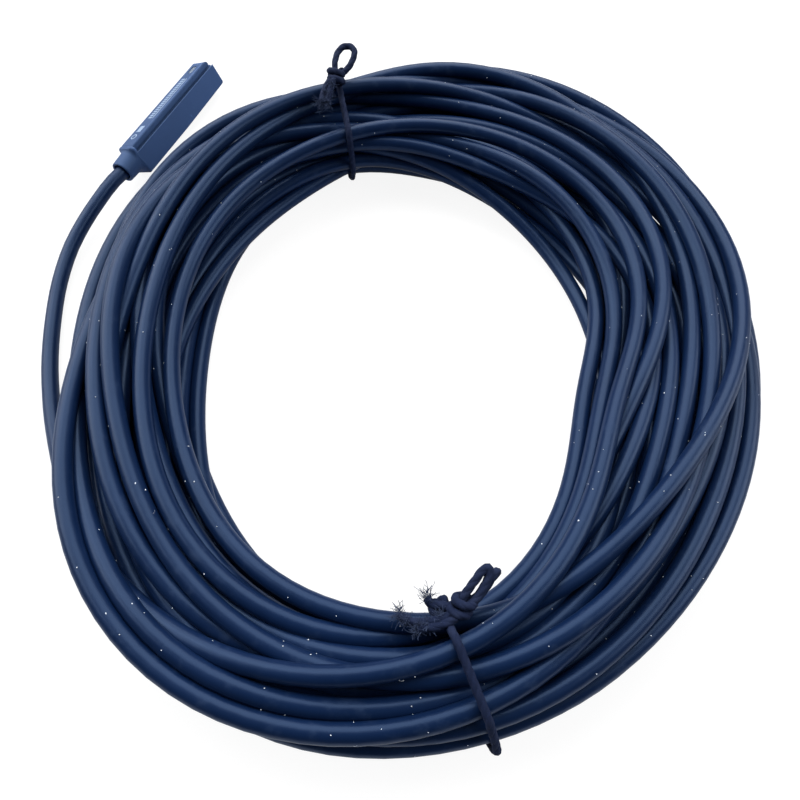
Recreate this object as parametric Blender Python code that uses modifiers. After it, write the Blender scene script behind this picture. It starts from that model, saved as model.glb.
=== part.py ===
"""Cylinder position sensor: a slim moulded head that drops into the slot of a pneumatic cylinder, on ten
metres of thin round cable. The cable lies in a coil that is tied twice with string.

The head lies on the table along +X, its nose away from the cable, and the origin is under its middle. It
leans over onto one foot edge, as the cable holds it. Lengths are in metres.
"""
import math

import bmesh
import bpy
from mathutils import Matrix, Vector

MM = 0.001

# Clearances
SEAT_GAP = 0.3 * MM
FINE_GAP = 0.1 * MM
NEAR = 0.01 * MM

# Head body. The head's own axes: X from the cable end to the nose, Y across, Z up from the foot
BODY_LENGTH = 29.9 * MM
BODY_WIDTH = 5.0 * MM
LIP_HEIGHT = 4.72 * MM
FOOT_CORNER = 0.4 * MM
NOSE_CORNER = 0.6 * MM
END_CORNER = 0.3 * MM
LIP_CORNER = 0.1 * MM
FOOT_KINK = 14.5 * MM
FOOT_RISE = 0.3 * MM
HEAD_LEAN = math.radians(-23.4)

# Rail along the top of the body, and the small round groove at its foot
RAIL_WIDTH = 3.8 * MM
RAIL_TOP = 6.2 * MM
RAIL_ROOT = 1.2 * MM
RAIL_CORNER = 0.4 * MM
RAIL_NOSE_ROUND = 1.3 * MM
RAIL_REAR_ROUND = 0.8 * MM
RAIL_NOSE_SETBACK = 0.5 * MM
RAIL_REAR_SETBACK = 0.2 * MM
GROOVE_RADIUS = 0.4 * MM
GROOVE_INSET = 0.05 * MM

# Cable
CABLE_DIAMETER = 2.8 * MM
CORE_DIAMETER = 0.9 * MM
CABLE_CLEARANCE = 0.3 * MM
CORE_NAMES = ("brown", "black", "blue")

# Collar that the cable comes out of
COLLAR_HEIGHT = 3.4 * MM
COLLAR_LENGTH = 4.1 * MM
COLLAR_RIM_DIAMETER = 4.5 * MM
COLLAR_ROOT_DIAMETER = 4.8 * MM
COLLAR_FLARE = 0.9 * MM
COLLAR_EDGE = 0.2 * MM
COLLAR_ROOT = 0.6 * MM
JACKET_IN_COLLAR = 3.0 * MM

# Hollow in the body, with a groove in each side for the board
END_WALL = 1.3 * MM
HOLLOW_WIDTH = 3.1 * MM
HOLLOW_FLOOR = 1.0 * MM
HOLLOW_ROOF = 4.1 * MM
BOARD_GROOVE_DEPTH = 0.3 * MM

# Board and what is on it. Its parts stand evenly between the wire pads and the light
BOARD_THICKNESS = 0.6 * MM
BOARD_BOTTOM = 2.0 * MM
BOARD_START = 2.2 * MM
BOARD_NOSE_GAP = 0.5 * MM
WIRE_PADS = 2.4 * MM
CAPACITOR_SIZE = (1.6 * MM, 0.8 * MM, 0.8 * MM)
RESISTOR_SIZE = (0.8 * MM, 1.6 * MM, 0.45 * MM)
LED_SIZE = (1.6 * MM, 0.8 * MM, 0.6 * MM)
DRIVER_BODY = (2.9 * MM, 1.6 * MM, 1.1 * MM)
MAGNET_CHIP_BODY = (2.9 * MM, 1.3 * MM, 1.0 * MM)
BOARD_PARTS = {
    "capacitor": CAPACITOR_SIZE,
    "output_driver_chip": DRIVER_BODY,
    "resistor_pullup": RESISTOR_SIZE,
    "magnet_sensor_chip": MAGNET_CHIP_BODY,
    "resistor_led": RESISTOR_SIZE,
}
LEG_WIDTH = 0.4 * MM
LEG_THICKNESS = 0.15 * MM
LEG_REACH = 0.35 * MM
LEG_PITCH = 0.95 * MM

# Window over the light, in the top of the rail
LENS_LENGTH = 2.0 * MM
LENS_WIDTH = 1.2 * MM
LENS_FROM_NOSE = 3.9 * MM
LENS_BELOW_RAIL = 0.05 * MM
LENS_ROUND = 0.25 * MM
LED_TO_LENS = 0.2 * MM

# Free lead: the route of its centre from the collar to the coil, in the part's frame
LEAD_ROUTE = (
    (-20.2 * MM, 0.55 * MM, 4.0 * MM),
    (-24.8 * MM, 0.6 * MM, 3.6 * MM),
    (-30.4 * MM, 0.5 * MM, 2.9 * MM),
    (-36.9 * MM, -0.4 * MM, 2.1 * MM),
    (-44.5 * MM, -3.2 * MM, 1.6 * MM),
    (-52.3 * MM, -7.6 * MM, 1.5 * MM),
    (-59.4 * MM, -12.5 * MM, 1.6 * MM),
    (-65.9 * MM, -18.3 * MM, 2.3 * MM),
    (-69.4 * MM, -22.2 * MM, 3.3 * MM),
    (-72.6 * MM, -26.4 * MM, 4.8 * MM),
)
TUBE_STEP = 2.4 * CABLE_DIAMETER

# Coil: one closed solid of the outer shape of all its turns. The stations are spaced evenly round it
COIL_CENTRE = (-27.6 * MM, -72.9 * MM)
COIL_FIRST_STATION = math.radians(-65.8)
COIL_RADII = [
    size * MM for size in (44.8, 46.9, 49.2, 50.2, 50.1, 51.6, 50.2, 53.5, 58.4, 57.2, 48.0, 43.0)
]
COIL_HALF_WIDTHS = [
    size * MM for size in (15.9, 17.4, 17.4, 14.8, 12.2, 11.6, 10.8, 11.6, 9.9, 8.8, 11.8, 15.8)
]
COIL_HEIGHTS = [
    size * MM for size in (14.2, 13.4, 14.4, 15.6, 16.4, 17.2, 16.6, 16.4, 17.2, 17.4, 16.6, 15.2)
]
COIL_STATIONS = 72
COIL_SIDES = 16

# String ties, which pinch the bundle round
TIE_TURNS = {"tie_upper": math.radians(108.8), "tie_lower": math.radians(274.2)}
TIE_RADII = {"tie_upper": 48.2 * MM, "tie_lower": 55.8 * MM}
TIE_HALF_WIDTH = 8.6 * MM
TIE_SPREAD = math.radians(15.0)
STRING_DIAMETER = 1.2 * MM
TIE_LIFT = STRING_DIAMETER + SEAT_GAP + FINE_GAP
TIE_SIDES = 28
KNOT_SIZE = (3.2 * MM, 2.4 * MM, 2.4 * MM)
KNOT_ANGLES = {"tie_upper": math.radians(62.0), "tie_lower": math.radians(158.0)}

# Loops and tails of each knot, from its middle: along the bundle, outwards and up
TIE_ENDS = {
    "tie_upper": (
        (
            (0.9 * MM, -0.4 * MM, 0.0),
            (-0.2 * MM, 3.0 * MM, 1.3 * MM),
            (-2.4 * MM, 6.0 * MM, 2.2 * MM),
            (-4.6 * MM, 6.8 * MM, 2.6 * MM),
            (-4.2 * MM, 4.2 * MM, 1.8 * MM),
            (-2.2 * MM, 1.6 * MM, 1.2 * MM),
            (-0.7 * MM, -0.4 * MM, 0.0),
        ),
        (
            (0.0, 0.0, 0.0),
            (1.6 * MM, 0.6 * MM, 0.6 * MM),
            (3.0 * MM, -0.8 * MM, 1.6 * MM),
        ),
    ),
    "tie_lower": (
        (
            (-0.7 * MM, 0.4 * MM, 0.0),
            (1.6 * MM, -2.8 * MM, 0.8 * MM),
            (4.0 * MM, -5.6 * MM, 0.8 * MM),
            (5.6 * MM, -5.8 * MM, 0.6 * MM),
            (4.4 * MM, -2.6 * MM, 0.4 * MM),
            (0.9 * MM, 0.4 * MM, 0.0),
        ),
        (
            (0.0, 0.0, 0.0),
            (-2.8 * MM, 0.6 * MM, 2.0 * MM),
            (-6.0 * MM, 0.6 * MM, 2.6 * MM),
            (-9.0 * MM, -0.4 * MM, 2.4 * MM),
        ),
    ),
}

# Far end of the cable, on the table just outside the bundle
TAIL_FIRST = math.radians(40.0)
TAIL_LAST = math.radians(64.0)
TAIL_LEAVE = 2.0 * MM
TAIL_POINTS = 6
STRIPPED_LENGTH = 26.0 * MM
TIP_LENGTH = 5.0 * MM
TIP_DIAMETER = 0.6 * MM
CORE_SPREAD = 1.6 * MM
CORE_POINTS = 5

ROUND_STEPS = 32
BORE_OVERRUN = 1.0 * MM

COLOURS = {
    "housing_plastic": (0.075, 0.11, 0.2),
    "indicator_clear": (0.35, 0.45, 0.62),
    "board_green": (0.02, 0.13, 0.06),
    "chip_black": (0.012, 0.012, 0.014),
    "ceramic_tan": (0.45, 0.33, 0.2),
    "led_white": (0.7, 0.7, 0.66),
    "jacket": (0.03, 0.045, 0.085),
    "brown": (0.16, 0.06, 0.03),
    "blue": (0.03, 0.1, 0.4),
    "black": (0.012, 0.012, 0.014),
    "tinned_copper": (0.6, 0.6, 0.6),
    "string": (0.012, 0.016, 0.035),
}
SURFACES = {"tinned_copper": (0.35, 1.0), "indicator_clear": (0.15, 0.0), "housing_plastic": (0.5, 0.0)}
PLAIN_SURFACE = (0.6, 0.0)


def clear_scene():
    for obj in list(bpy.data.objects):
        bpy.data.objects.remove(obj, do_unlink=True)


def collection(name):
    made = bpy.data.collections.new(name)
    bpy.context.scene.collection.children.link(made)
    return made


def material(name):
    """The Principled material of this name, made once."""
    made = bpy.data.materials.get(name)
    if made is None:
        made = bpy.data.materials.new(name)
        made.use_nodes = True
        shader = made.node_tree.nodes["Principled BSDF"]
        roughness, metallic = SURFACES.get(name, PLAIN_SURFACE)
        shader.inputs["Base Color"].default_value = (*COLOURS[name], 1.0)
        shader.inputs["Roughness"].default_value = roughness
        shader.inputs["Metallic"].default_value = metallic
    return made


def add_object(name, data, finish=None, parent=None):
    """An object of the part, or a helper that is left out of it when it has no finish."""
    obj = bpy.data.objects.new(name, data)
    if finish:
        data.materials.append(material(finish))
        PARTS.objects.link(obj)
    else:
        CUTTERS.objects.link(obj)
        obj.hide_render = True
        obj.display_type = "WIRE"
    obj.parent = parent
    return obj


def mesh_from(bm, name):
    mesh = bpy.data.meshes.new(name)
    bm.to_mesh(mesh)
    bm.free()
    return mesh


def block(name, low, high, finish=None, parent=None):
    """A box between two corners, with its object's place at its middle."""
    low, high = Vector(low), Vector(high)
    bm = bmesh.new()
    bmesh.ops.create_cube(bm, size=1.0, matrix=Matrix.Diagonal((*(high - low), 1.0)))
    obj = add_object(name, mesh_from(bm, name), finish, parent)
    obj.location = (low + high) / 2
    return obj


def weigh_edges(bm, radius_of):
    """Gives each edge its share of the widest bevel, and returns that width."""
    weight = bm.edges.layers.float.new("bevel_weight_edge")
    radii = {edge: radius_of((edge.verts[0].co + edge.verts[1].co) / 2) for edge in bm.edges}
    widest = max(radii.values())
    for edge, radius in radii.items():
        edge[weight] = radius / widest
    return widest


def bevel(obj, width, segments=3, limit="WEIGHT"):
    modifier = obj.modifiers.new("rounded_edges", "BEVEL")
    modifier.width = width
    modifier.segments = segments
    modifier.limit_method = limit


def boolean(obj, other, operation, crosses_itself=False):
    modifier = obj.modifiers.new(other.name, "BOOLEAN")
    modifier.operation = operation
    modifier.object = other
    modifier.solver = "EXACT"
    modifier.use_self = crosses_itself


def smooth_by_angle(obj, degrees=35.0):
    obj.data.shade_smooth()
    if obj.type == "MESH":
        obj.data.set_sharp_from_angle(angle=math.radians(degrees))


def turned(name, profile, place, parent):
    """A closed body turned from (radius, height) points, listed from the top down, with its top towards -X."""
    bm = bmesh.new()
    points = [bm.verts.new((radius, 0.0, height)) for radius, height in profile]
    for first, second in zip(points, points[1:]):
        bm.edges.new((first, second))
    obj = add_object(name, mesh_from(bm, name), None, parent)
    obj.location = place
    obj.rotation_euler = (0.0, math.radians(-90.0), 0.0)
    screw = obj.modifiers.new("turned", "SCREW")
    screw.axis = "Z"
    screw.angle = math.tau
    screw.steps = screw.render_steps = ROUND_STEPS
    screw.use_merge_vertices = True
    screw.merge_threshold = 0.00001
    return obj


def smooth_route(points, step):
    """Points about this far apart on one smooth curve through the given ones."""
    points = [Vector(point) for point in points]
    places = [0.0]
    for first, second in zip(points, points[1:]):
        places.append(places[-1] + (second - first).length)
    slopes = []
    for index in range(len(points)):
        before, after = max(index - 1, 0), min(index + 1, len(points) - 1)
        slopes.append((points[after] - points[before]) / (places[after] - places[before]))
    count = max(2, round(places[-1] / step))
    route = []
    for number in range(count + 1):
        place = places[-1] * number / count
        index = max(i for i in range(len(points) - 1) if places[i] <= place + 1e-12)
        span = places[index + 1] - places[index]
        part = (place - places[index]) / span
        route.append(
            points[index] * (1 - 3 * part**2 + 2 * part**3)
            + slopes[index] * span * (part - 2 * part**2 + part**3)
            + points[index + 1] * (3 * part**2 - 2 * part**3)
            + slopes[index + 1] * span * (part**3 - part**2)
        )
    return route


def tube(name, points, diameter, finish=None, parent=None, closed=False):
    """A round tube along these points: eight sides, with filled ends."""
    curve = bpy.data.curves.new(name, "CURVE")
    curve.dimensions = "3D"
    curve.bevel_depth = diameter / 2
    curve.bevel_resolution = 2
    curve.use_fill_caps = not closed
    spline = curve.splines.new("POLY")
    spline.points.add(len(points) - 1)
    for target, point in zip(spline.points, points):
        target.co = (*point, 1.0)
    spline.use_cyclic_u = closed
    return add_object(name, curve, finish, parent)


def as_mesh(obj, finish=None):
    """The same tube as a mesh object with welded caps, which a Boolean can use."""
    bpy.context.view_layer.update()
    graph = bpy.context.evaluated_depsgraph_get()
    mesh = bpy.data.meshes.new_from_object(obj.evaluated_get(graph))
    bm = bmesh.new()
    bm.from_mesh(mesh)
    bmesh.ops.remove_doubles(bm, verts=bm.verts, dist=0.000001)
    bmesh.ops.recalc_face_normals(bm, faces=bm.faces)
    bm.to_mesh(mesh)
    bm.free()
    mesh.materials.clear()
    name, place = obj.name, obj.matrix_world.copy()
    bpy.data.objects.remove(obj, do_unlink=True)
    made = add_object(name, mesh, finish)
    made.matrix_world = place
    return made


def make_body(head):
    """The lower body, whose foot rises a little from mid-length to the nose."""
    bm = bmesh.new()
    bmesh.ops.create_cube(bm, size=1.0, matrix=Matrix.Diagonal((BODY_LENGTH, BODY_WIDTH, LIP_HEIGHT, 1.0)))
    bmesh.ops.translate(bm, verts=bm.verts, vec=(BODY_LENGTH / 2, 0.0, LIP_HEIGHT / 2))
    everything = bm.verts[:] + bm.edges[:] + bm.faces[:]
    bmesh.ops.bisect_plane(bm, geom=everything, plane_co=(FOOT_KINK, 0.0, 0.0), plane_no=(1.0, 0.0, 0.0))
    for vert in bm.verts:
        if vert.co.x > BODY_LENGTH - NEAR and vert.co.z < NEAR:
            vert.co.z = FOOT_RISE

    def corner_radius(middle):
        at_side = abs(middle.y) > BODY_WIDTH / 2 - NEAR
        at_nose = middle.x > BODY_LENGTH - NEAR
        at_rear = middle.x < NEAR
        if middle.z > LIP_HEIGHT - NEAR:
            return LIP_CORNER if at_side or at_nose else 0.0
        if middle.z < FOOT_RISE + NEAR:
            if at_side:
                return FOOT_CORNER
            return NOSE_CORNER if at_nose else 0.0
        return END_CORNER if at_side and (at_nose or at_rear) else 0.0

    width = weigh_edges(bm, corner_radius)
    housing = add_object("housing", mesh_from(bm, "housing"), "housing_plastic", head)
    bevel(housing, width)
    return housing


def make_rail(head):
    """The rail on the body, with a round nose in side view."""
    low = Vector((RAIL_REAR_SETBACK, -RAIL_WIDTH / 2, LIP_HEIGHT - RAIL_ROOT))
    high = Vector((BODY_LENGTH - RAIL_NOSE_SETBACK, RAIL_WIDTH / 2, RAIL_TOP))
    rail = block("rail", low, high, None, head)
    half = (high - low) / 2

    def corner_radius(middle):
        at_nose = middle.x > half.x - NEAR
        at_rear = middle.x < NEAR - half.x
        at_side = abs(middle.y) > half.y - NEAR
        if middle.z > half.z - NEAR:
            if at_side:
                return RAIL_CORNER
            return RAIL_NOSE_ROUND if at_nose else RAIL_REAR_ROUND
        return END_CORNER if at_side and (at_nose or at_rear) and middle.z > NEAR - half.z else 0.0

    bm = bmesh.new()
    bm.from_mesh(rail.data)
    width = weigh_edges(bm, corner_radius)
    bm.to_mesh(rail.data)
    bm.free()
    bevel(rail, width, segments=5)
    return rail


def make_groove(name, side, head):
    """A round cutter along one foot of the rail."""
    bm = bmesh.new()
    bmesh.ops.create_cone(
        bm,
        cap_ends=True,
        segments=16,
        radius1=GROOVE_RADIUS,
        radius2=GROOVE_RADIUS,
        depth=BODY_LENGTH + BORE_OVERRUN,
    )
    groove = add_object(name, mesh_from(bm, name), None, head)
    groove.rotation_euler = (0.0, math.radians(90.0), 0.0)
    across = side * (RAIL_WIDTH / 2 - GROOVE_INSET)
    groove.location = ((BODY_LENGTH + BORE_OVERRUN) / 2 + RAIL_REAR_SETBACK, across, LIP_HEIGHT)
    return groove


def make_collar(head):
    """The turned collar with a hollow flare at its root, trimmed to the body's sides."""
    rim, root = COLLAR_RIM_DIAMETER / 2, COLLAR_ROOT_DIAMETER / 2
    profile = [(0.0, COLLAR_LENGTH), (rim - COLLAR_EDGE, COLLAR_LENGTH)]
    profile += [
        (
            rim - COLLAR_EDGE * (1 - math.sin(math.radians(angle))),
            COLLAR_LENGTH - COLLAR_EDGE * (1 - math.cos(math.radians(angle))),
        )
        for angle in (30, 60, 90)
    ]
    profile += [
        (
            root + COLLAR_FLARE * (1 - math.cos(math.radians(angle))),
            COLLAR_FLARE * (1 - math.sin(math.radians(angle))),
        )
        for angle in (0, 22.5, 45, 67.5, 90)
    ]
    profile += [(root + COLLAR_FLARE, -COLLAR_ROOT), (0.0, -COLLAR_ROOT)]
    collar = turned("collar", profile, (0.0, 0.0, COLLAR_HEIGHT), head)
    trim = block(
        "collar_trim",
        (-COLLAR_LENGTH - BORE_OVERRUN, FINE_GAP - BODY_WIDTH / 2, FINE_GAP),
        (COLLAR_ROOT + BORE_OVERRUN, BODY_WIDTH / 2 - FINE_GAP, RAIL_TOP - FINE_GAP),
        None,
        head,
    )
    boolean(collar, trim, "INTERSECT")
    return collar


def make_bore(head):
    """The cable's hole from the collar's rim into the hollow, with its mouth eased."""
    radius = CABLE_DIAMETER / 2 + CABLE_CLEARANCE
    profile = [
        (0.0, COLLAR_LENGTH + BORE_OVERRUN),
        (radius + COLLAR_EDGE + BORE_OVERRUN, COLLAR_LENGTH + BORE_OVERRUN),
        (radius, COLLAR_LENGTH - COLLAR_EDGE),
        (radius, -END_WALL - FINE_GAP),
        (0.0, -END_WALL - FINE_GAP),
    ]
    return turned("bore", profile, (0.0, 0.0, COLLAR_HEIGHT), head)


def lens_middle():
    return BODY_LENGTH - LENS_FROM_NOSE


def make_housing(head):
    """The one-piece moulding: body, rail and collar, with the hollow for the board."""
    housing = make_body(head)
    boolean(housing, make_rail(head), "UNION")
    for name, side in (("groove_left", 1), ("groove_right", -1)):
        boolean(housing, make_groove(name, side, head), "DIFFERENCE")
    boolean(housing, make_collar(head), "UNION")
    boolean(housing, make_bore(head), "DIFFERENCE")
    half = HOLLOW_WIDTH / 2
    hollow = block(
        "hollow",
        (END_WALL, -half, HOLLOW_FLOOR),
        (BODY_LENGTH - END_WALL, half, HOLLOW_ROOF),
        None,
        head,
    )
    boolean(housing, hollow, "DIFFERENCE")
    board_groove = block(
        "board_groove",
        (END_WALL + FINE_GAP, -half - BOARD_GROOVE_DEPTH, BOARD_BOTTOM - FINE_GAP),
        (
            BODY_LENGTH - END_WALL - FINE_GAP,
            half + BOARD_GROOVE_DEPTH,
            BOARD_BOTTOM + BOARD_THICKNESS + FINE_GAP,
        ),
        None,
        head,
    )
    boolean(housing, board_groove, "DIFFERENCE")
    window = block(
        "window",
        (
            lens_middle() - LENS_LENGTH / 2 - FINE_GAP,
            -LENS_WIDTH / 2 - FINE_GAP,
            HOLLOW_ROOF - BORE_OVERRUN,
        ),
        (
            lens_middle() + LENS_LENGTH / 2 + FINE_GAP,
            LENS_WIDTH / 2 + FINE_GAP,
            RAIL_TOP + BORE_OVERRUN,
        ),
        None,
        head,
    )
    boolean(housing, window, "DIFFERENCE")
    smooth_by_angle(housing)
    return housing


def stand_on_table(head, housing):
    """Leans the head over and puts the middle of its foot on the origin."""
    head.rotation_euler = (HEAD_LEAN, 0.0, 0.0)
    bpy.context.view_layer.update()
    graph = bpy.context.evaluated_depsgraph_get()
    whole = housing.evaluated_get(graph)
    corners = [whole.matrix_world @ vert.co for vert in whole.data.vertices]
    low = [min(corner[axis] for corner in corners) for axis in range(3)]
    high = [max(corner[axis] for corner in corners) for axis in range(3)]
    head.location = (-(low[0] + high[0]) / 2, -(low[1] + high[1]) / 2, -low[2])
    bpy.context.view_layer.update()


def board_top():
    return BOARD_BOTTOM + BOARD_THICKNESS


def make_indicator(head):
    """The clear window, which reaches down to just over the light."""
    bottom = board_top() + FINE_GAP + LED_SIZE[2] + LED_TO_LENS
    lens = block(
        "indicator_lens",
        (lens_middle() - LENS_LENGTH / 2, -LENS_WIDTH / 2, bottom),
        (lens_middle() + LENS_LENGTH / 2, LENS_WIDTH / 2, RAIL_TOP - LENS_BELOW_RAIL),
        "indicator_clear",
        head,
    )
    bevel(lens, LENS_ROUND / 2, segments=2, limit="ANGLE")


def places_on_board():
    """Where the middle of each part of the board is along the head, with even spaces between them."""
    start = BOARD_START + WIRE_PADS
    end = lens_middle() - LED_SIZE[0] / 2
    taken = sum(size[0] for size in BOARD_PARTS.values())
    space = (end - start - taken) / (len(BOARD_PARTS) + 1)
    places = {}
    for name, size in BOARD_PARTS.items():
        places[name] = start + space + size[0] / 2
        start += space + size[0]
    return places


def on_board(name, middle, size, finish, head):
    """A small part across the middle of the board, this far along the head."""
    bottom = board_top() + FINE_GAP
    return block(
        name,
        (middle - size[0] / 2, -size[1] / 2, bottom),
        (middle + size[0] / 2, size[1] / 2, bottom + size[2]),
        finish,
        head,
    )


def make_chip(name, middle, size, head):
    """A three-legged chip: two legs on one side and one on the other, stepped down to the board."""
    lifted = board_top() + FINE_GAP + LEG_THICKNESS / 2
    body = block(
        name,
        (middle - size[0] / 2, -size[1] / 2, lifted),
        (middle + size[0] / 2, size[1] / 2, lifted + size[2]),
        "chip_black",
        head,
    )
    bevel(body, LEG_THICKNESS / 2, segments=1, limit="ANGLE")
    for number, (along, side) in enumerate(((-LEG_PITCH, -1), (LEG_PITCH, -1), (0.0, 1))):
        inner, outer = side * size[1] / 4, side * (size[1] / 2 + LEG_REACH)
        leg = block(
            f"{name}_leg_{number}",
            (middle + along - LEG_WIDTH / 2, min(inner, outer), board_top() + FINE_GAP),
            (middle + along + LEG_WIDTH / 2, max(inner, outer), lifted + LEG_THICKNESS),
            None,
            head,
        )
        boolean(body, leg, "UNION")


def make_board(head):
    """The board in its side grooves, with its chips, resistors, capacitor and light."""
    half = HOLLOW_WIDTH / 2 + BOARD_GROOVE_DEPTH - FINE_GAP
    end = BODY_LENGTH - END_WALL - BOARD_NOSE_GAP
    block(
        "circuit_board",
        (BOARD_START, -half, BOARD_BOTTOM),
        (end, half, board_top()),
        "board_green",
        head,
    )
    for name, middle in places_on_board().items():
        if name.endswith("chip"):
            make_chip(name, middle, BOARD_PARTS[name], head)
        else:
            finish = "ceramic_tan" if name == "capacitor" else "chip_black"
            on_board(name, middle, BOARD_PARTS[name], finish, head)
    on_board("indicator_led", lens_middle(), LED_SIZE, "led_white", head)


def core_ring(index):
    """Where a core lies in the cable's section, across and up from its centre."""
    angle = math.radians(210.0 - 120.0 * index)
    reach = (CORE_DIAMETER + FINE_GAP) / math.sqrt(3)
    return reach * math.cos(angle), reach * math.sin(angle)


def make_board_wires(head):
    """The three cores, from the cable's end in the collar to a row on the board."""
    start = JACKET_IN_COLLAR - COLLAR_LENGTH + FINE_GAP
    level = board_top() + FINE_GAP + CORE_DIAMETER / 2
    pitch = CORE_DIAMETER + FINE_GAP
    for index, name in enumerate(CORE_NAMES):
        across, up = core_ring(index)
        row = (index - 1) * pitch
        top = level + (COLLAR_HEIGHT + up - level) * 0.35
        points = [
            (start, across, COLLAR_HEIGHT + up),
            (start + CORE_DIAMETER, across + (row - across) * 0.6, COLLAR_HEIGHT + up * 0.9),
            (END_WALL, row, top),
            (BOARD_START + WIRE_PADS / 2, row, level),
            (BOARD_START + WIRE_PADS, row, level),
        ]
        tube(f"wire_{name}_board", smooth_route(points, CORE_DIAMETER / 2), CORE_DIAMETER, name, head)


def make_lead(head):
    """The free stretch of cable, from inside the collar to the coil's side."""
    inside = [
        head.matrix_world @ Vector((-COLLAR_LENGTH + along, 0.0, COLLAR_HEIGHT))
        for along in (JACKET_IN_COLLAR, 0.0)
    ]
    route = smooth_route([*inside, *LEAD_ROUTE], TUBE_STEP)
    tube("cable_lead", route, CABLE_DIAMETER, "jacket")


def around(values, turn):
    """A value between evenly spaced stations, on a smooth closed curve through them."""
    count = len(values)
    place = turn / math.tau * count
    station = math.floor(place)
    part = place - station
    before, first, second, after = (values[(station + step) % count] for step in (-1, 0, 1, 2))
    bend = 2 * before - 5 * first + 4 * second - after
    twist = 3 * (first - second) + after - before
    return first + 0.5 * part * (second - before + part * (bend + part * twist))


def coil_section(turn):
    """The bundle's section at this turn: centre radius, half width, half height and lift from the table."""
    radius, half, height = (around(sizes, turn) for sizes in (COIL_RADII, COIL_HALF_WIDTHS, COIL_HEIGHTS))
    lift = 0.0
    for name, tie_turn in TIE_TURNS.items():
        grip = math.exp(-((math.remainder(turn - tie_turn, math.tau) / TIE_SPREAD) ** 2))
        radius += grip * (TIE_RADII[name] - radius)
        half += grip * (TIE_HALF_WIDTH - half)
        height += grip * (2 * TIE_HALF_WIDTH - height)
        lift += grip * TIE_LIFT
    return radius, half, height / 2, lift


def coil_point(turn, radius, height):
    angle = turn + COIL_FIRST_STATION
    return Vector(
        (COIL_CENTRE[0] + radius * math.cos(angle), COIL_CENTRE[1] + radius * math.sin(angle), height)
    )


def make_coil():
    """The outer shape of the bundle: an oval section that changes round the coil, lofted all the way."""
    bm = bmesh.new()
    rings = []
    for station in range(COIL_STATIONS):
        turn = math.tau * station / COIL_STATIONS
        radius, half, height, lift = coil_section(turn)
        ring = []
        for side in range(COIL_SIDES):
            angle = math.tau * side / COIL_SIDES
            up = lift + height * (1 + math.sin(angle))
            ring.append(bm.verts.new(coil_point(turn, radius + half * math.cos(angle), up)))
        rings.append(ring)
    for ring, following in zip(rings, rings[1:] + rings[:1]):
        for side in range(COIL_SIDES):
            beside = (side + 1) % COIL_SIDES
            bm.faces.new((ring[side], following[side], following[beside], ring[beside]))
    bmesh.ops.recalc_face_normals(bm, faces=bm.faces)
    coil = add_object("cable_coil", mesh_from(bm, "cable_coil"), "jacket")
    coil.data.shade_smooth()


def tie_frame(name):
    """A matrix at the middle of the bundle under a tie: X along the bundle, Y outwards, Z up."""
    turn = TIE_TURNS[name]
    radius, half, height, lift = coil_section(turn)
    angle = turn + COIL_FIRST_STATION
    along = Vector((-math.sin(angle), math.cos(angle), 0.0))
    out = Vector((math.cos(angle), math.sin(angle), 0.0))
    axes = Matrix((along, out, Vector((0.0, 0.0, 1.0)))).transposed().to_4x4()
    return Matrix.Translation(coil_point(turn, radius, lift + height)) @ axes


def make_tie(name):
    """One string tie: a band round the bundle, its knot, and the knot's loops and tails."""
    frame = tie_frame(name)
    reach = TIE_HALF_WIDTH + SEAT_GAP + STRING_DIAMETER / 2
    ring = []
    for side in range(TIE_SIDES):
        angle = math.tau * side / TIE_SIDES
        ring.append(frame @ Vector((0.0, reach * math.cos(angle), reach * math.sin(angle))))
    tie = as_mesh(tube(name, ring, STRING_DIAMETER, closed=True), "string")
    knot_reach = reach + KNOT_SIZE[2] / 2 - STRING_DIAMETER / 2
    knot_angle = KNOT_ANGLES[name]
    middle = Vector((0.0, knot_reach * math.cos(knot_angle), knot_reach * math.sin(knot_angle)))
    bm = bmesh.new()
    bmesh.ops.create_uvsphere(bm, u_segments=12, v_segments=8, radius=0.5)
    knot = add_object(f"{name}_knot", mesh_from(bm, f"{name}_knot"))
    tilt = Matrix.Rotation(knot_angle - math.pi / 2, 4, "X")
    knot.matrix_world = frame @ Matrix.Translation(middle) @ tilt @ Matrix.Diagonal((*KNOT_SIZE, 1.0))
    boolean(tie, knot, "UNION")
    for number, points in enumerate(TIE_ENDS[name]):
        route = smooth_route([frame @ (middle + Vector(point)) for point in points], STRING_DIAMETER)
        end = as_mesh(tube(f"{name}_end_{number}", route, STRING_DIAMETER * 0.9))
        boolean(tie, end, "UNION", crosses_itself=True)
    tie.data.shade_smooth()


def beside_bundle(turn):
    """How far from the coil's centre a cable on the table lies when it touches the bundle's outer side."""
    radius, half, height, lift = coil_section(turn)
    reach = CABLE_DIAMETER / 2 + SEAT_GAP
    touching = 0.0
    for degree in range(-90, 91):
        angle = math.radians(degree)
        rise = lift + height * (1 + math.sin(angle)) - CABLE_DIAMETER / 2
        if abs(rise) < reach:
            touching = max(touching, radius + half * math.cos(angle) + math.sqrt(reach**2 - rise**2))
    return touching


def tail_point(part):
    """A point of the far end's jacket, which leaves the bundle's side little by little."""
    turn = TAIL_FIRST + (TAIL_LAST - TAIL_FIRST) * part
    return coil_point(turn, beside_bundle(turn) + TAIL_LEAVE * part**2, CABLE_DIAMETER / 2)


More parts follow.
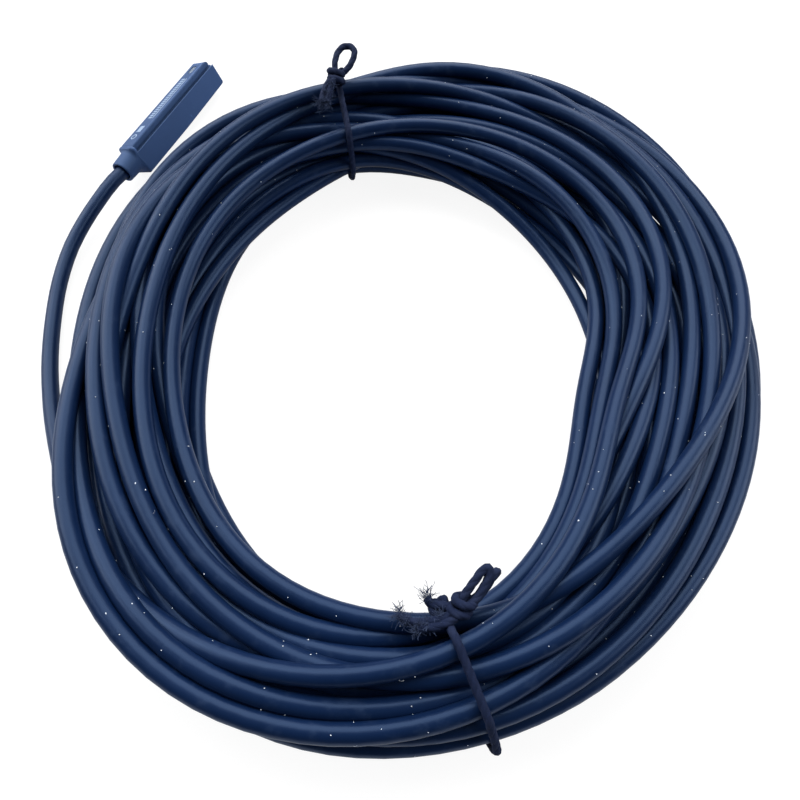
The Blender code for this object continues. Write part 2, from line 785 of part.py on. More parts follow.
def make_far_end():
    """The cable's far end: a short jacket beside the bundle, then three bare cores with tinned tips."""
    route = [tail_point(number / (TAIL_POINTS - 1)) for number in range(TAIL_POINTS)]
    tube("cable_tail", smooth_route(route, TUBE_STEP), CABLE_DIAMETER, "jacket")
    end = route[-1]
    ahead = (route[-1] - route[-2]).normalized()
    side = Vector((ahead.y, -ahead.x, 0.0))
    length = STRIPPED_LENGTH - TIP_LENGTH
    floor = CORE_DIAMETER / 2
    for index, name in enumerate(CORE_NAMES):
        across, up = core_ring(index)
        points = []
        for number in range(CORE_POINTS):
            part = number / (CORE_POINTS - 1)
            spread = across + (index - 1) * CORE_SPREAD * part - across * part
            level = max(floor, (CABLE_DIAMETER / 2 + up) * (1 - part) ** 2 + floor * (1 - (1 - part) ** 2))
            along = FINE_GAP + length * part
            points.append(end + ahead * along + side * spread + Vector((0.0, 0.0, level - end.z)))
        tube(f"wire_{name}_end", smooth_route(points, CORE_DIAMETER * 3), CORE_DIAMETER, name)
        onward = (points[-1] - points[-2]).normalized()
        onward.z = 0.0
        tip = [points[-1] + onward * along for along in (FINE_GAP, TIP_LENGTH / 2, TIP_LENGTH)]
        tube(f"tip_{name}", tip, TIP_DIAMETER, "tinned_copper")


def main():
    head = bpy.data.objects.new("head", None)
    PARTS.objects.link(head)
    housing = make_housing(head)
    stand_on_table(head, housing)
    make_indicator(head)
    make_board(head)
    make_board_wires(head)
    make_lead(head)
    make_coil()
    for name in TIE_TURNS:
        make_tie(name)
    make_far_end()


clear_scene()
PARTS = collection("cylinder_sensor")
CUTTERS = collection("cutters")
main()
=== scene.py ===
"""Finishes the cylinder position sensor: the long cable wound and tied, the moulded head and its print, the
bare far end, dust, and a plain white table to show it on.
"""
import math

import bmesh
import bpy
import numpy as np
from bpy.props import FloatProperty, FloatVectorProperty, IntProperty, PointerProperty
from mathutils import Matrix, Vector
from mathutils.geometry import convex_hull_2d


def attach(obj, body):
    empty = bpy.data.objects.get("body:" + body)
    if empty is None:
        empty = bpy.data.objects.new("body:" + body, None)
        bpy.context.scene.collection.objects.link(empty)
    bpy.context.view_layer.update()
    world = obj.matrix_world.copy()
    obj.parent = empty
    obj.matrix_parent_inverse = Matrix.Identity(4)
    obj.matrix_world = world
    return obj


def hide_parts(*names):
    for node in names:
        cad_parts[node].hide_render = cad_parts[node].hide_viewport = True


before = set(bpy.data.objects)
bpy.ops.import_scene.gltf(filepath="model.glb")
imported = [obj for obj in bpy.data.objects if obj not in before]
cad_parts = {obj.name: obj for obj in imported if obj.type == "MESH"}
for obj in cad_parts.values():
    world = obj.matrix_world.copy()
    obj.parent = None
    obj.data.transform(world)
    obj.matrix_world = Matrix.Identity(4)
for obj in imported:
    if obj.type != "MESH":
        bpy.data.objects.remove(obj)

bl_info = {
    "name": "Cylinder sensor finish",
    "version": (1, 0, 0),
    "blender": (4, 5, 0),
    "location": "View3D > Sidebar > Sensor",
    "description": "Winds the sensor's cable, ties it, and finishes the head and the far end",
    "category": "Object",
}

MM = 0.001
BODY = "root"

# Cable
CABLE_DIAMETER = 2.8 * MM
CABLE_SIDES = 16
CORE_DIAMETER = 0.9 * MM
CORE_COLOURS = {"brown": (0.13, 0.05, 0.025), "black": (0.012, 0.012, 0.014), "blue": (0.02, 0.09, 0.42)}
CORE_SIDES = 12
SEAT_GAP = 0.3 * MM
FINE_GAP = 0.1 * MM

# Head: its own axes run along it, across it, and up from its foot
HEAD_LEAN = math.radians(-23.4)
COLLAR_LENGTH = 4.1 * MM
COLLAR_HEIGHT = 3.4 * MM
JACKET_IN_COLLAR = 3.0 * MM
RAIL_TOP = 6.2 * MM

# Free lead, from the collar to the coil
LEAD_ROUTE = (
    (-20.2 * MM, 0.55 * MM, 4.0 * MM),
    (-24.8 * MM, 0.6 * MM, 3.6 * MM),
    (-30.4 * MM, 0.5 * MM, 2.9 * MM),
    (-36.9 * MM, -0.4 * MM, 2.1 * MM),
    (-44.5 * MM, -3.2 * MM, 1.6 * MM),
    (-52.3 * MM, -7.6 * MM, 1.5 * MM),
    (-59.4 * MM, -12.5 * MM, 1.6 * MM),
    (-65.9 * MM, -18.3 * MM, 2.3 * MM),
    (-69.4 * MM, -22.2 * MM, 3.3 * MM),
    (-72.6 * MM, -26.4 * MM, 4.8 * MM),
)

# Coil: the bundle's section at stations spaced evenly round it
COIL_CENTRE = (-27.6 * MM, -72.9 * MM)
COIL_FIRST_STATION = math.radians(-65.8)
COIL_RADII = np.array([44.8, 46.9, 49.2, 50.2, 50.1, 51.6, 50.2, 53.5, 58.4, 57.2, 48.0, 43.0]) * MM
COIL_HALF_WIDTHS = np.array([15.9, 17.4, 17.4, 14.8, 12.2, 11.6, 10.8, 11.6, 9.9, 8.8, 11.8, 15.8]) * MM
COIL_HEIGHTS = np.array([14.2, 13.4, 14.4, 15.6, 16.4, 17.2, 16.6, 16.4, 17.2, 17.4, 16.6, 15.2]) * MM

# Ties, which pinch the bundle
TIE_TURNS = {"tie_upper": math.radians(108.8), "tie_lower": math.radians(274.2)}
TIE_RADII = {"tie_upper": 48.2 * MM, "tie_lower": 55.8 * MM}
TIE_HALF_WIDTH = 8.6 * MM
TIE_SPREAD = math.radians(15.0)
STRING_DIAMETER = 1.2 * MM
TIE_LIFT = STRING_DIAMETER + SEAT_GAP + FINE_GAP
STRING_STEP = 0.25 * MM
STRING_STRANDS = 3
STRING_SIDES = 9
HULL_SIDES = 36
KNOT_TURN = 36
KNOT_SIZE = 0.44 * MM

# How far each band lies along the bundle, and how much more of that for each metre outwards
TIE_SLANTS = {"tie_upper": (0.5 * MM, -0.12), "tie_lower": (-0.3 * MM, 0.34)}
KNOT_ANGLES = {"tie_upper": math.radians(68.0), "tie_lower": math.radians(144.0)}

# Loops and tails of the ties in mm: along the bundle, outwards, and up from its middle
TIE_LOOPS = {
    "tie_upper": (
        (
            (0.6, 2.6, 9.9), (0.2, 4.2, 11.0), (-0.8, 5.9, 11.7), (-2.2, 6.9, 12.1), (-3.6, 6.6, 12.2),
            (-4.1, 5.3, 12.0), (-3.2, 3.8, 11.3), (-1.8, 2.8, 10.6), (0.0, 2.4, 9.9),
        ),
        ((0.5, 2.4, 10.1), (1.6, 0.6, 10.6), (2.9, -1.4, 10.1), (4.0, -3.3, 9.5)),
        ((0.6, 2.2, 10.0), (2.4, 1.0, 10.2), (4.0, -0.9, 9.7), (5.0, -2.8, 9.2)),
    ),
    "tie_lower": (
        (
            (-1.0, -7.6, 7.0), (0.3, -9.3, 7.9), (1.7, -10.8, 8.7), (2.8, -11.9, 9.1), (3.5, -12.1, 9.1),
            (3.5, -11.3, 8.8), (2.7, -9.9, 8.4), (1.5, -8.4, 7.8), (-0.6, -7.3, 7.0),
        ),
        (
            (-0.9, -7.4, 6.8), (1.5, -8.7, 7.2), (3.1, -10.2, 7.5), (4.4, -11.5, 7.5),
            (4.9, -11.9, 6.9), (4.2, -11.2, 6.6), (2.6, -9.4, 6.5), (-0.4, -7.4, 6.6),
        ),
        ((-1.4, -7.6, 7.2), (-3.0, -8.2, 7.0), (-4.1, -8.4, 6.5), (-4.7, -9.2, 6.7)),
        ((-1.4, -7.0, 7.4), (-4.0, -6.3, 7.4), (-6.6, -6.4, 6.7), (-8.4, -7.4, 6.2)),
        ((-1.2, -6.4, 7.6), (-3.6, -5.6, 7.7), (-6.2, -5.5, 7.1)),
    ),
}

# Frayed ends in mm: where they start, which way they point, their length and their number of fibres
TIE_FRAYS = {
    "tie_upper": (
        ((3.8, -3.2, 9.6), (0.5, -0.8, 0.05), 1.9, 130),
        ((4.8, -2.6, 9.3), (0.8, -0.55, -0.1), 1.9, 130),
        ((3.0, -1.4, 10.0), (0.8, -0.6, 0.0), 1.7, 140),
        ((1.8, -0.2, 10.6), (0.8, -0.4, 0.1), 1.5, 110),
    ),
    "tie_lower": (
        ((-4.6, -9.1, 6.7), (-0.3, -1.0, 0.5), 2.3, 60),
        ((-8.2, -7.3, 6.2), (-0.7, -0.9, 0.4), 2.4, 60),
        ((-7.2, -6.7, 6.5), (-0.8, 0.2, 0.1), 1.5, 120),
        ((-6.0, -5.6, 7.1), (-0.9, 0.1, 0.1), 1.7, 130),
        ((-4.6, -6.0, 7.4), (-0.9, 0.3, 0.0), 1.5, 120),
        ((-3.0, -6.6, 7.4), (-0.8, -0.2, 0.2), 1.5, 110),
    ),
}

# Wraps of each knot in mm: their middle, and the way the loops leave them
TIE_WRAPS = {
    "tie_upper": ((0.6, 2.2, 10.1), (-0.3, 1.0, 0.6)),
    "tie_lower": ((-0.3, -7.9, 7.3), (1.3, -1.7, 0.8)),
}

# How far the two wraps lie from that middle and how far each leans, in string diameters
WRAP_SHIFTS = (-0.55, 0.55)
WRAP_TILT = 0.35
WRAP_TURN = 28

FIBRE_RADIUS = 0.035 * MM
FIBRE_SIDES = 3
FIBRE_POINTS = 9
FIBRE_LENGTHS = (0.35, 1.0)
FIBRE_SPREAD = 0.42
FIBRE_CURL = 0.34

# Far end
TAIL_FIRST = math.radians(40.0)
TAIL_LAST = math.radians(64.0)
TAIL_LEAVE = 2.0 * MM
TAIL_POINTS = 6
STRIPPED_LENGTH = 26.0 * MM
TIP_LENGTH = 5.0 * MM
TIP_RADIUS = 0.3 * MM
TIP_WIRE_RADIUS = TIP_RADIUS / 3
TIP_STRANDS = 6
TIP_SIDES = 6
TIP_TWIST = 4.0 * MM
CORE_ANGLES = (210.0, 90.0, -30.0)
CORE_SPREAD = 1.6 * MM
CORE_POINTS = 5

# How far along a tip its line's points are, and what part of the way it has come down to the table there
TIP_FALL = ((-FINE_GAP, 0.0), (TIP_LENGTH * 0.3, 0.6), (TIP_LENGTH, 1.0))

# Winding: the cable is cut into stations, this many to a turn, and settled under its own weight
STATIONS = 120
TURNS = 32
FIRST_STATION = 65
LAST_STATION = 21 + STATIONS * TURNS
START_PITCH = 0.8 * MM
STIFFNESS = 40.0
PUSH = 0.4
WIDENING = 0.1

# How the turns wander across the bundle: as a slow random walk with this many knots to a turn, spread out
# over the room that the bundle's round section gives
KNOTS = 5
KNOT_MEMORY = 0.6
WALK_START = 1.2
ROOM_SAMPLES = 2001
ROOM_POWER = 0.4

# How the turns settle: the pull to their own place and the weight in mm are strongest in the first step,
# and have come down to their last strength after this share of the steps
SETTLE_STEPS = 700
SETTLE_SHARE = 0.8
PULL_FIRST, PULL_LAST = 0.02, 0.002
WEIGHT_FIRST, WEIGHT_LAST = 0.16, 0.005

# How a tie holds the turns: within its own width over this length, more loosely on each side of it, and
# no longer where they could lie further out than the limit
GRIP_LENGTH = 3.0 * MM
GRIP_SLOPE = 0.3
GRIP_LIMIT = 30 * MM
SQUEEZE = 0.22 * MM
SQUEEZE_LENGTH = 12.0 * MM

# How the lead comes in over the coil's side, station by station
LEAD_JOINS = 9
LEAD_OUT = 65.7 * MM
LEAD_TUCK = 2.8 * MM
LEAD_UP = 3.3 * MM
LEAD_CLIMB = 6.6 * MM
LEAD_EASE = 0.2

# Print on the rail in mm, in the head's own axes: rows of plain marks
MARK_ROWS = (
    (9.4, 0.15, 1.1, (0.42,) * 20),
    (9.4, -0.85, 0.26, (13.34,)),
    (5.0, 0.05, 1.3, (1.9,)),
)
MARK_SPACE = 0.26
MARK_THICKNESS = 0.02 * MM
RING_PLACE = (3.5, 0.05)
RING_RADII = (0.5, 0.78)
RING_SIDES = 28

# Dust and lint: how far each kind may turn, and its largest scale
DUST_KINDS = {
    "Density": ((math.tau, math.tau, math.tau), (1.3, 1.0, 0.8)),
    "Lint density": ((0.3, 0.3, math.tau), (1.2, 1.2, 1.2)),
}
DUST_SMALLEST = (0.35, 0.35, 0.35)
DUST_LEVEL = 8.0 * MM
DUST_SLOPE = 0.1
SPECKS_TO_LINT = 25
LINT_POINTS = 7
LINT_SIDES = 3
LINT_REACH = 0.6 * MM
LINT_SWEEP = 1.6
LINT_RADIUS = 0.018 * MM

# Colours that no setting gives
COOL_SHEEN = (0.42, 0.63, 1.0, 1.0)
RUBBED_JACKET = (0.035, 0.06, 0.12, 1.0)
FADED_STRING = (0.03, 0.042, 0.09, 1.0)
FRAY_COLOURS = ((0.008, 0.014, 0.04, 1.0), (0.06, 0.085, 0.16, 1.0))
CLEAR_COLOUR = (0.3, 0.38, 0.5, 1.0)
BOARD_COLOURS = ((0.012, 0.075, 0.035, 1.0), (0.03, 0.16, 0.07, 1.0))
DUST_COLOURS = ((0.5, 0.56, 0.66, 1.0), (0.85, 0.88, 0.93, 1.0))
CHIP_COLOUR = (0.013, 0.013, 0.015)
CERAMIC_COLOUR = (0.42, 0.3, 0.17)
LED_COLOUR = (0.75, 0.73, 0.62)
TINNED_COLOUR = (0.62, 0.61, 0.59)

# Meshes
TINY = 1e-12
WELD = 0.001 * MM
TUBE_EDGE = math.radians(40.0)
HOUSING_EDGE = math.radians(35.0)
STRAND_SHARE = 0.76
BOX_FACES = ((3, 2, 1, 0), (4, 5, 6, 7), (0, 1, 5, 4), (1, 2, 6, 5), (2, 3, 7, 6), (3, 0, 4, 7))

# Stage, in metres. Each lamp has its place, its width, and its share of the lamp power
TABLE_REACH = 3.0
TABLE_SEEN = {"Is Camera Ray": 1.0, "Is Glossy Ray": 0.3, "Is Transmission Ray": 1.0}
TABLE_GLOW = 0.9
TABLE_SHADOW = (0.16, 0.16, 0.16, 1.0)
TABLE_COLOUR = (0.36, 0.45, 0.62, 1.0)
ROOM_COLOUR = (0.86, 0.92, 1.0, 1.0)
LAMPS = {
    "top_lamp": ((0.36, 0.12, 0.46), 0.7, 0.9),
    "left_lamp": ((-0.05, 0.4, 0.34), 0.5, 0.5),
    "right_lamp": ((0.2, -0.5, 0.34), 0.4, 0.32),
}
CAMERA_PLACE = (-0.0821, -0.0922, 0.1010)
CAMERA_TURN = (math.radians(25.0), 0.0, math.radians(-65.8))
CAMERA_LENS = 27.99
CAMERA_NEAR = 0.01

# What the winding leaves for the later steps: the turns, the cable's path, and where it leaves the head
SETTLED = {}


class Value:
    """A socket in a node tree. Sums, differences, products and quotients of it add Math nodes."""

    def __init__(self, tree, socket):
        self.tree = tree
        self.socket = socket

    def maths(self, operation, *values):
        return self.tree.node("ShaderNodeMath", {"operation": operation}, dict(enumerate(values)))

    def __add__(self, other):
        return self.maths("ADD", self, other)

    __radd__ = __add__

    def __sub__(self, other):
        return self.maths("SUBTRACT", self, other)

    def __rsub__(self, other):
        return self.maths("SUBTRACT", other, self)

    def __mul__(self, other):
        return self.maths("MULTIPLY", self, other)

    __rmul__ = __mul__

    def __truediv__(self, other):
        return self.maths("DIVIDE", self, other)

    def above(self, edge, softness):
        """0 below the edge and 1 over it, with a soft step this wide."""
        settings = {"interpolation_type": "SMOOTHSTEP"}
        values = {"Value": self, "From Min": edge - softness / 2, "From Max": edge + softness / 2}
        return self.tree.node("ShaderNodeMapRange", settings, values, "Result")

    def beside(self, name):
        """Another output of the same node."""
        return Value(self.tree, self.socket.node.outputs[name])


class Tree:
    """A node tree under construction."""

    def __init__(self, tree):
        self.nodes = tree.nodes
        self.links = tree.links
        self.nodes.clear()

    def node(self, kind, settings=None, values=None, output=0):
        """Adds a node: its settings first, then what its sockets are set or linked to."""
        node = self.nodes.new(kind)
        for name, setting in (settings or {}).items():
            setattr(node, name, setting)
        for name, value in (values or {}).items():
            if isinstance(value, Value):
                self.links.new(value.socket, node.inputs[name])
            else:
                node.inputs[name].default_value = value
        return Value(self, node.outputs[output]) if len(node.outputs) else None


class Finish(Tree):
    """A material under construction."""

    def __init__(self, name):
        self.material = bpy.data.materials.new(name)
        self.material.use_nodes = True
        super().__init__(self.material.node_tree)

    def place(self):
        """Object coordinates, in metres."""
        return self.node("ShaderNodeTexCoord", output="Object")

    def noise(self, size, vector=None, detail=2.0, roughness=0.5):
        """Noise from 0 to 1 whose lumps are about this many metres across."""
        values = {
            "Vector": vector or self.place(),
            "Scale": 1.0 / size,
            "Detail": detail,
            "Roughness": roughness,
        }
        return self.node("ShaderNodeTexNoise", values=values)

    def blend(self, share, first, second):
        """A colour between two colours, by the Mix node's own colour sockets."""
        return self.node("ShaderNodeMix", {"data_type": "RGBA"}, {0: share, 6: first, 7: second}, 2)

    def bump(self, height, distance, strength=1.0):
        values = {"Height": height, "Distance": distance, "Strength": strength}
        return self.node("ShaderNodeBump", values=values, output="Normal")

    def principled(self, **values):
        """The Principled shader, with its sockets named in small letters and underscores."""
        titles = {name: name.replace("_", " ").title().replace("Ior", "IOR") for name in values}
        return self.node("ShaderNodeBsdfPrincipled", values={titles[name]: values[name] for name in values})

    def done(self, surface):
        self.node("ShaderNodeOutputMaterial", values={"Surface": surface})
        return self.material


def bake_modifier(obj, modifier):
    """Makes a modifier's result the object's own mesh, and takes the modifier away."""
    graph = bpy.context.evaluated_depsgraph_get()
    mesh = bpy.data.meshes.new_from_object(obj.evaluated_get(graph))
    obj.modifiers.remove(modifier)
    obj.data = mesh


def change_mesh(mesh, change):
    """Edits a mesh with what this function does to a bmesh of it."""
    bm = bmesh.new()
    bm.from_mesh(mesh)
    change(bm)
    bm.to_mesh(mesh)
    bm.free()


class Recipe(Tree):
    """A Geometry Nodes tree under construction, with its sizes as named inputs."""

    def __init__(self, name, sizes):
        self.group = bpy.data.node_groups.new(name, "GeometryNodeTree")
        self.sizes = sizes
        interface = self.group.interface
        interface.new_socket(name="Geometry", in_out="OUTPUT", socket_type="NodeSocketGeometry")
        interface.new_socket(name="Geometry", in_out="INPUT", socket_type="NodeSocketGeometry")
        for name_of_size, value in sizes.items():
            kind = "NodeSocketInt" if isinstance(value, int) else "NodeSocketFloat"
            interface.new_socket(name=name_of_size, in_out="INPUT", socket_type=kind)
        super().__init__(self.group)

    def given(self, name):
        """One of the tree's inputs."""
        return self.node("NodeGroupInput", output=name)

    def vectors(self, operation, *values, scale=None):
        named = dict(enumerate(values))
        if scale is not None:
            named["Scale"] = scale
        return self.node("ShaderNodeVectorMath", {"operation": operation}, named)

    def done(self, geometry, finish):
        """Ends the tree with plain geometry in this finish."""
        real = self.node("GeometryNodeRealizeInstances", values={"Geometry": geometry})
        dressed = self.node("GeometryNodeSetMaterial", values={"Geometry": real, "Material": finish})
        self.node("NodeGroupOutput", values={"Geometry": dressed})

    def make(self, obj):
        """Runs the tree on an object and leaves it as a plain mesh."""
        modifier = obj.modifiers.new(self.group.name, "NODES")
        modifier.node_group = self.group
        for item in self.group.interface.items_tree:
            if item.in_out == "INPUT" and item.name in self.sizes:
                modifier[item.identifier] = self.sizes[item.name]
        bake_modifier(obj, modifier)
        if not obj.data.polygons:
            raise RuntimeError(f"{obj.name} came out empty")
        return obj


def shade(colour, factor):
    """The colour made lighter or darker."""
    return (*(min(1.0, channel * factor) for channel in colour[:3]), 1.0)


def jacket_finish(settings):
    """Satin extruded jacket: drawing lines along it, soft cloudiness, and rubbed, paler places."""
    finish = Finish("jacket")
    along = finish.node("ShaderNodeUVMap", {"uv_map": "cable"})
    stretched = finish.node("ShaderNodeMapping", values={"Vector": along, "Scale": (30.0, 0.35, 1.0)})
    lines = finish.node(
        "ShaderNodeTexNoise", values={"Vector": stretched, "Scale": 22.0, "Detail": 3.0, "Roughness": 0.6}
    )
    clouds = finish.noise(9 * MM, detail=3.0)
    rubbed = finish.noise(3.5 * MM, detail=5.0, roughness=0.65).above(0.62, 0.16)
    base = settings.jacket_colour
    colour = finish.blend(clouds, shade(base, 0.82), shade(base, 1.2))
    colour = finish.blend(rubbed * lines * 0.3, colour, RUBBED_JACKET)
    rough = 0.29 + clouds * 0.06 + rubbed * 0.12 + lines * 0.06
    grain = finish.noise(0.22 * MM, detail=2.0)
    relief = finish.bump(lines * 0.6 + grain * 0.4, 0.02 * MM, 0.35)
    return finish.done(
        finish.principled(
            base_color=colour, roughness=rough, normal=relief,
            specular_ior_level=0.36, specular_tint=COOL_SHEEN,
        )
    )


def string_finish(settings):
    """Soft twisted cotton, dyed dark, a little faded where it was handled."""
    finish = Finish("string")
    fibres = finish.noise(0.18 * MM, detail=3.0, roughness=0.7)
    faded = finish.noise(2.2 * MM, detail=3.0).above(0.58, 0.25)
    base = settings.string_colour
    colour = finish.blend(fibres, shade(base, 0.6), shade(base, 1.7))
    colour = finish.blend(faded * 0.25, colour, FADED_STRING)
    relief = finish.bump(fibres, 0.08 * MM, 0.8)
    return finish.done(
        finish.principled(base_color=colour, roughness=0.85, normal=relief, specular_ior_level=0.25)
    )


def fray_finish():
    """Loose fibre ends, greyer than the string because the dye has worn off them."""
    finish = Finish("frayed_fibre")
    tone = finish.noise(0.8 * MM, detail=1.0)
    colour = finish.blend(tone, *FRAY_COLOURS)
    return finish.done(finish.principled(base_color=colour, roughness=0.95, specular_ior_level=0.2))


def housing_finish(settings):
    """Moulded plastic with a fine grain, a faint bloom, and smoother edges with a painted highlight along
    them.
    """
    finish = Finish("housing_plastic")
    base = settings.housing_colour
    clouds = finish.noise(4 * MM, detail=4.0)
    grain = finish.noise(0.12 * MM, detail=2.0)
    scuffs = finish.noise(1.1 * MM, detail=6.0, roughness=0.7).above(0.66, 0.1)
    # The convex edges, found by pointiness, carry a painted highlight: their colour is made paler, and they
    # are also made smoother.
    pointiness = finish.node("ShaderNodeNewGeometry", output="Pointiness")
    edges = pointiness.above(0.56, 0.08)
    colour = finish.blend(clouds, shade(base, 0.88), shade(base, 1.12))
    colour = finish.blend(edges * 0.45, colour, shade(base, 1.9))
    colour = finish.blend(scuffs * 0.35, colour, shade(base, 2.2))
    rough = 0.46 + clouds * 0.08 + grain * 0.08 - edges * 0.1
    relief = finish.bump(grain * 0.8 + scuffs * 0.2, 0.012 * MM, 0.5)
    return finish.done(
        finish.principled(
            base_color=colour, roughness=rough, normal=relief,
            specular_ior_level=0.35, specular_tint=COOL_SHEEN,
        )
    )


def print_finish(settings):
    """Pale ink, partly rubbed away."""
    finish = Finish("rail_print")
    worn = finish.noise(0.55 * MM, detail=6.0, roughness=0.75).above(0.64, 0.12)
    patchy = finish.noise(0.25 * MM, detail=3.0)
    colour = finish.blend(patchy, shade(settings.print_colour, 0.7), shade(settings.print_colour, 1.1))
    return finish.done(finish.principled(base_color=colour, roughness=0.6, alpha=1 - worn * 0.4))


def clear_finish():
    """The clear window, faintly hazy inside."""
    finish = Finish("indicator_clear")
    haze = finish.noise(0.3 * MM, detail=2.0)
    rough = 0.1 + haze * 0.15
    return finish.done(
        finish.principled(base_color=CLEAR_COLOUR, roughness=rough, transmission_weight=0.6, ior=1.5)
    )


def board_finish():
    """Green solder mask with copper tracks under it."""
    finish = Finish("board")
    mottle = finish.noise(0.5 * MM, detail=2.0)
    tracks = finish.node(
        "ShaderNodeTexWave",
        {"bands_direction": "X"},
        {"Vector": finish.place(), "Scale": 180.0, "Distortion": 3.0, "Detail": 1.0},
        "Fac",
    ).above(0.62, 0.06)
    colour = finish.blend(tracks, *BOARD_COLOURS)
    relief = finish.bump(tracks + mottle * 0.2, 0.02 * MM, 0.5)
    return finish.done(finish.principled(base_color=colour, roughness=0.35 + mottle * 0.1, normal=relief))


def speckled_finish(name, colour, size, roughness, metallic=0.0, spread=0.35):
    """A plain finish with its own fine mottle, for chips, ceramic, cores and tinned wire."""
    finish = Finish(name)
    mottle = finish.noise(size, detail=3.0)
    tone = finish.blend(mottle, shade(colour, 1 - spread), shade(colour, 1 + spread))
    relief = finish.bump(mottle, 0.01 * MM, 0.4)
    return finish.done(
        finish.principled(
            base_color=tone, roughness=roughness + mottle * 0.1, metallic=metallic, normal=relief
        )
    )


def core_finish(name, colour):
    """The thin insulation of one core."""
    return speckled_finish(name, colour, 0.8 * MM, 0.32, spread=0.1)


def table_finish():
    """White with only a faint shadow where it is seen, and a plain pale table for all other light."""
    finish = Finish("table_white")
    seen = 0.0
    for ray, share in TABLE_SEEN.items():
        seen = finish.node("ShaderNodeLightPath", output=ray) * share + seen
    seen = seen.maths("MINIMUM", seen, 1.0)
    pale = finish.node("ShaderNodeBsdfDiffuse", values={"Color": TABLE_COLOUR})
    shadow = finish.node("ShaderNodeBsdfDiffuse", values={"Color": TABLE_SHADOW})
    glow = finish.node("ShaderNodeEmission", values={"Strength": TABLE_GLOW})
    white = finish.node("ShaderNodeAddShader", values={0: shadow, 1: glow})
    return finish.done(finish.node("ShaderNodeMixShader", values={0: seen, 1: pale, 2: white}))


def dust_finish():
    finish = Finish("dust")
    tone = finish.noise(1.5 * MM, detail=1.0)
    colour = finish.blend(tone, *DUST_COLOURS)
    return finish.done(finish.principled(base_color=colour, roughness=0.9))


def strand_recipe(name, finish, strands, reach, radius, twist, step, sides):
    """Round strands twisted about a mesh's edges, a whole number of times along each line."""
    sizes = {
        "Strands": strands,
        "Twist radius": reach,
        "Strand radius": radius,
        "Twist length": twist,
        "Step": step,
        "Sides": sides,
    }
    recipe = Recipe(name, sizes)
    line = recipe.node("GeometryNodeMeshToCurve", values={"Mesh": recipe.given("Geometry")})
    line = recipe.node(
        "GeometryNodeResampleCurve", {"mode": "LENGTH"}, {"Curve": line, "Length": recipe.given("Step")}
    )
    copies = recipe.node(
        "GeometryNodeDuplicateElements",
        {"domain": "SPLINE"},
        {"Geometry": line, "Amount": recipe.given("Strands")},
    )
    length = recipe.node("GeometryNodeSplineLength", output="Length")
    twists = length.maths("ROUND", length / recipe.given("Twist length"))
    factor = recipe.node("GeometryNodeSplineParameter", output="Factor")
    angle = (copies.beside("Duplicate Index") / recipe.given("Strands") + factor * twists) * math.tau
    normal = recipe.node("GeometryNodeInputNormal")
    side = recipe.vectors("CROSS_PRODUCT", recipe.node("GeometryNodeInputTangent"), normal)
    across, aside = (
        recipe.vectors("SCALE", direction, scale=angle.maths(wave, angle) * recipe.given("Twist radius"))
        for wave, direction in (("COSINE", normal), ("SINE", side))
    )
    offset = recipe.vectors("ADD", across, aside)
    moved = recipe.node("GeometryNodeSetPosition", values={"Geometry": copies, "Offset": offset})
    profile = recipe.node(
        "GeometryNodeCurvePrimitiveCircle",
        values={"Resolution": recipe.given("Sides"), "Radius": recipe.given("Strand radius")},
    )
    tubes = recipe.node(
        "GeometryNodeCurveToMesh", values={"Curve": moved, "Profile Curve": profile, "Fill Caps": True}
    )
    recipe.done(recipe.node("GeometryNodeSetShadeSmooth", values={"Geometry": tubes}), finish)
    return recipe


def dust_recipe(finish, density, size, seed):
    """Specks and short lint scattered over what faces up."""
    sizes = {"Density": density, "Lint density": density / SPECKS_TO_LINT, "Size": size, "Seed": seed}
    recipe = Recipe("settled_dust", sizes)
    up, high = (
        recipe.node("ShaderNodeSeparateXYZ", values={0: recipe.node(kind)}, output="Z")
        for kind in ("GeometryNodeInputNormal", "GeometryNodeInputPosition")
    )
    open_to_dust = up.maths("GREATER_THAN", up, DUST_SLOPE) * high.maths("GREATER_THAN", high, DUST_LEVEL)
    ball = {"Radius": recipe.given("Size"), "Subdivisions": 1}
    speck = recipe.node("GeometryNodeMeshIcoSphere", values=ball)
    arc = recipe.node(
        "GeometryNodeCurveArc",
        values={"Resolution": LINT_POINTS, "Radius": LINT_REACH, "Sweep Angle": LINT_SWEEP},
    )
    circle = {"Resolution": LINT_SIDES, "Radius": LINT_RADIUS}
    hair = recipe.node("GeometryNodeCurvePrimitiveCircle", values=circle)
    lint = recipe.node("GeometryNodeCurveToMesh", values={"Curve": arc, "Profile Curve": hair})
    layers = []
    for number, (piece, (kind, (turns, largest))) in enumerate(zip((speck, lint), DUST_KINDS.items())):
        values = {
            "Mesh": recipe.given("Geometry"),
            "Selection": open_to_dust,
            "Density": recipe.given(kind),
            "Seed": recipe.given("Seed") + number,
        }
        places = recipe.node("GeometryNodeDistributePointsOnFaces", values=values)
        turned, scaled = (
            recipe.node("FunctionNodeRandomValue", {"data_type": "FLOAT_VECTOR"}, limits)
            for limits in ({"Max": turns}, {"Min": DUST_SMALLEST, "Max": largest})
        )
        values = {"Points": places, "Instance": piece, "Rotation": turned, "Scale": scaled}
        layers.append(recipe.node("GeometryNodeInstanceOnPoints", values=values))
    joined = recipe.nodes.new("GeometryNodeJoinGeometry")
    for layer in reversed(layers):
        recipe.links.new(layer.socket, joined.inputs["Geometry"])
    recipe.done(Value(recipe, joined.outputs["Geometry"]), finish)
    return recipe


def add_mesh(name, points, faces, finish=None, edges=()):
    """A finished piece at the origin, with its place in its mesh."""
    mesh = bpy.data.meshes.new(name)
    mesh.from_pydata([tuple(point) for point in points], list(edges), faces)
    mesh.update()
    obj = bpy.data.objects.new(name, mesh)
    bpy.context.scene.collection.objects.link(obj)
    if finish:
        mesh.materials.append(finish)
    return obj


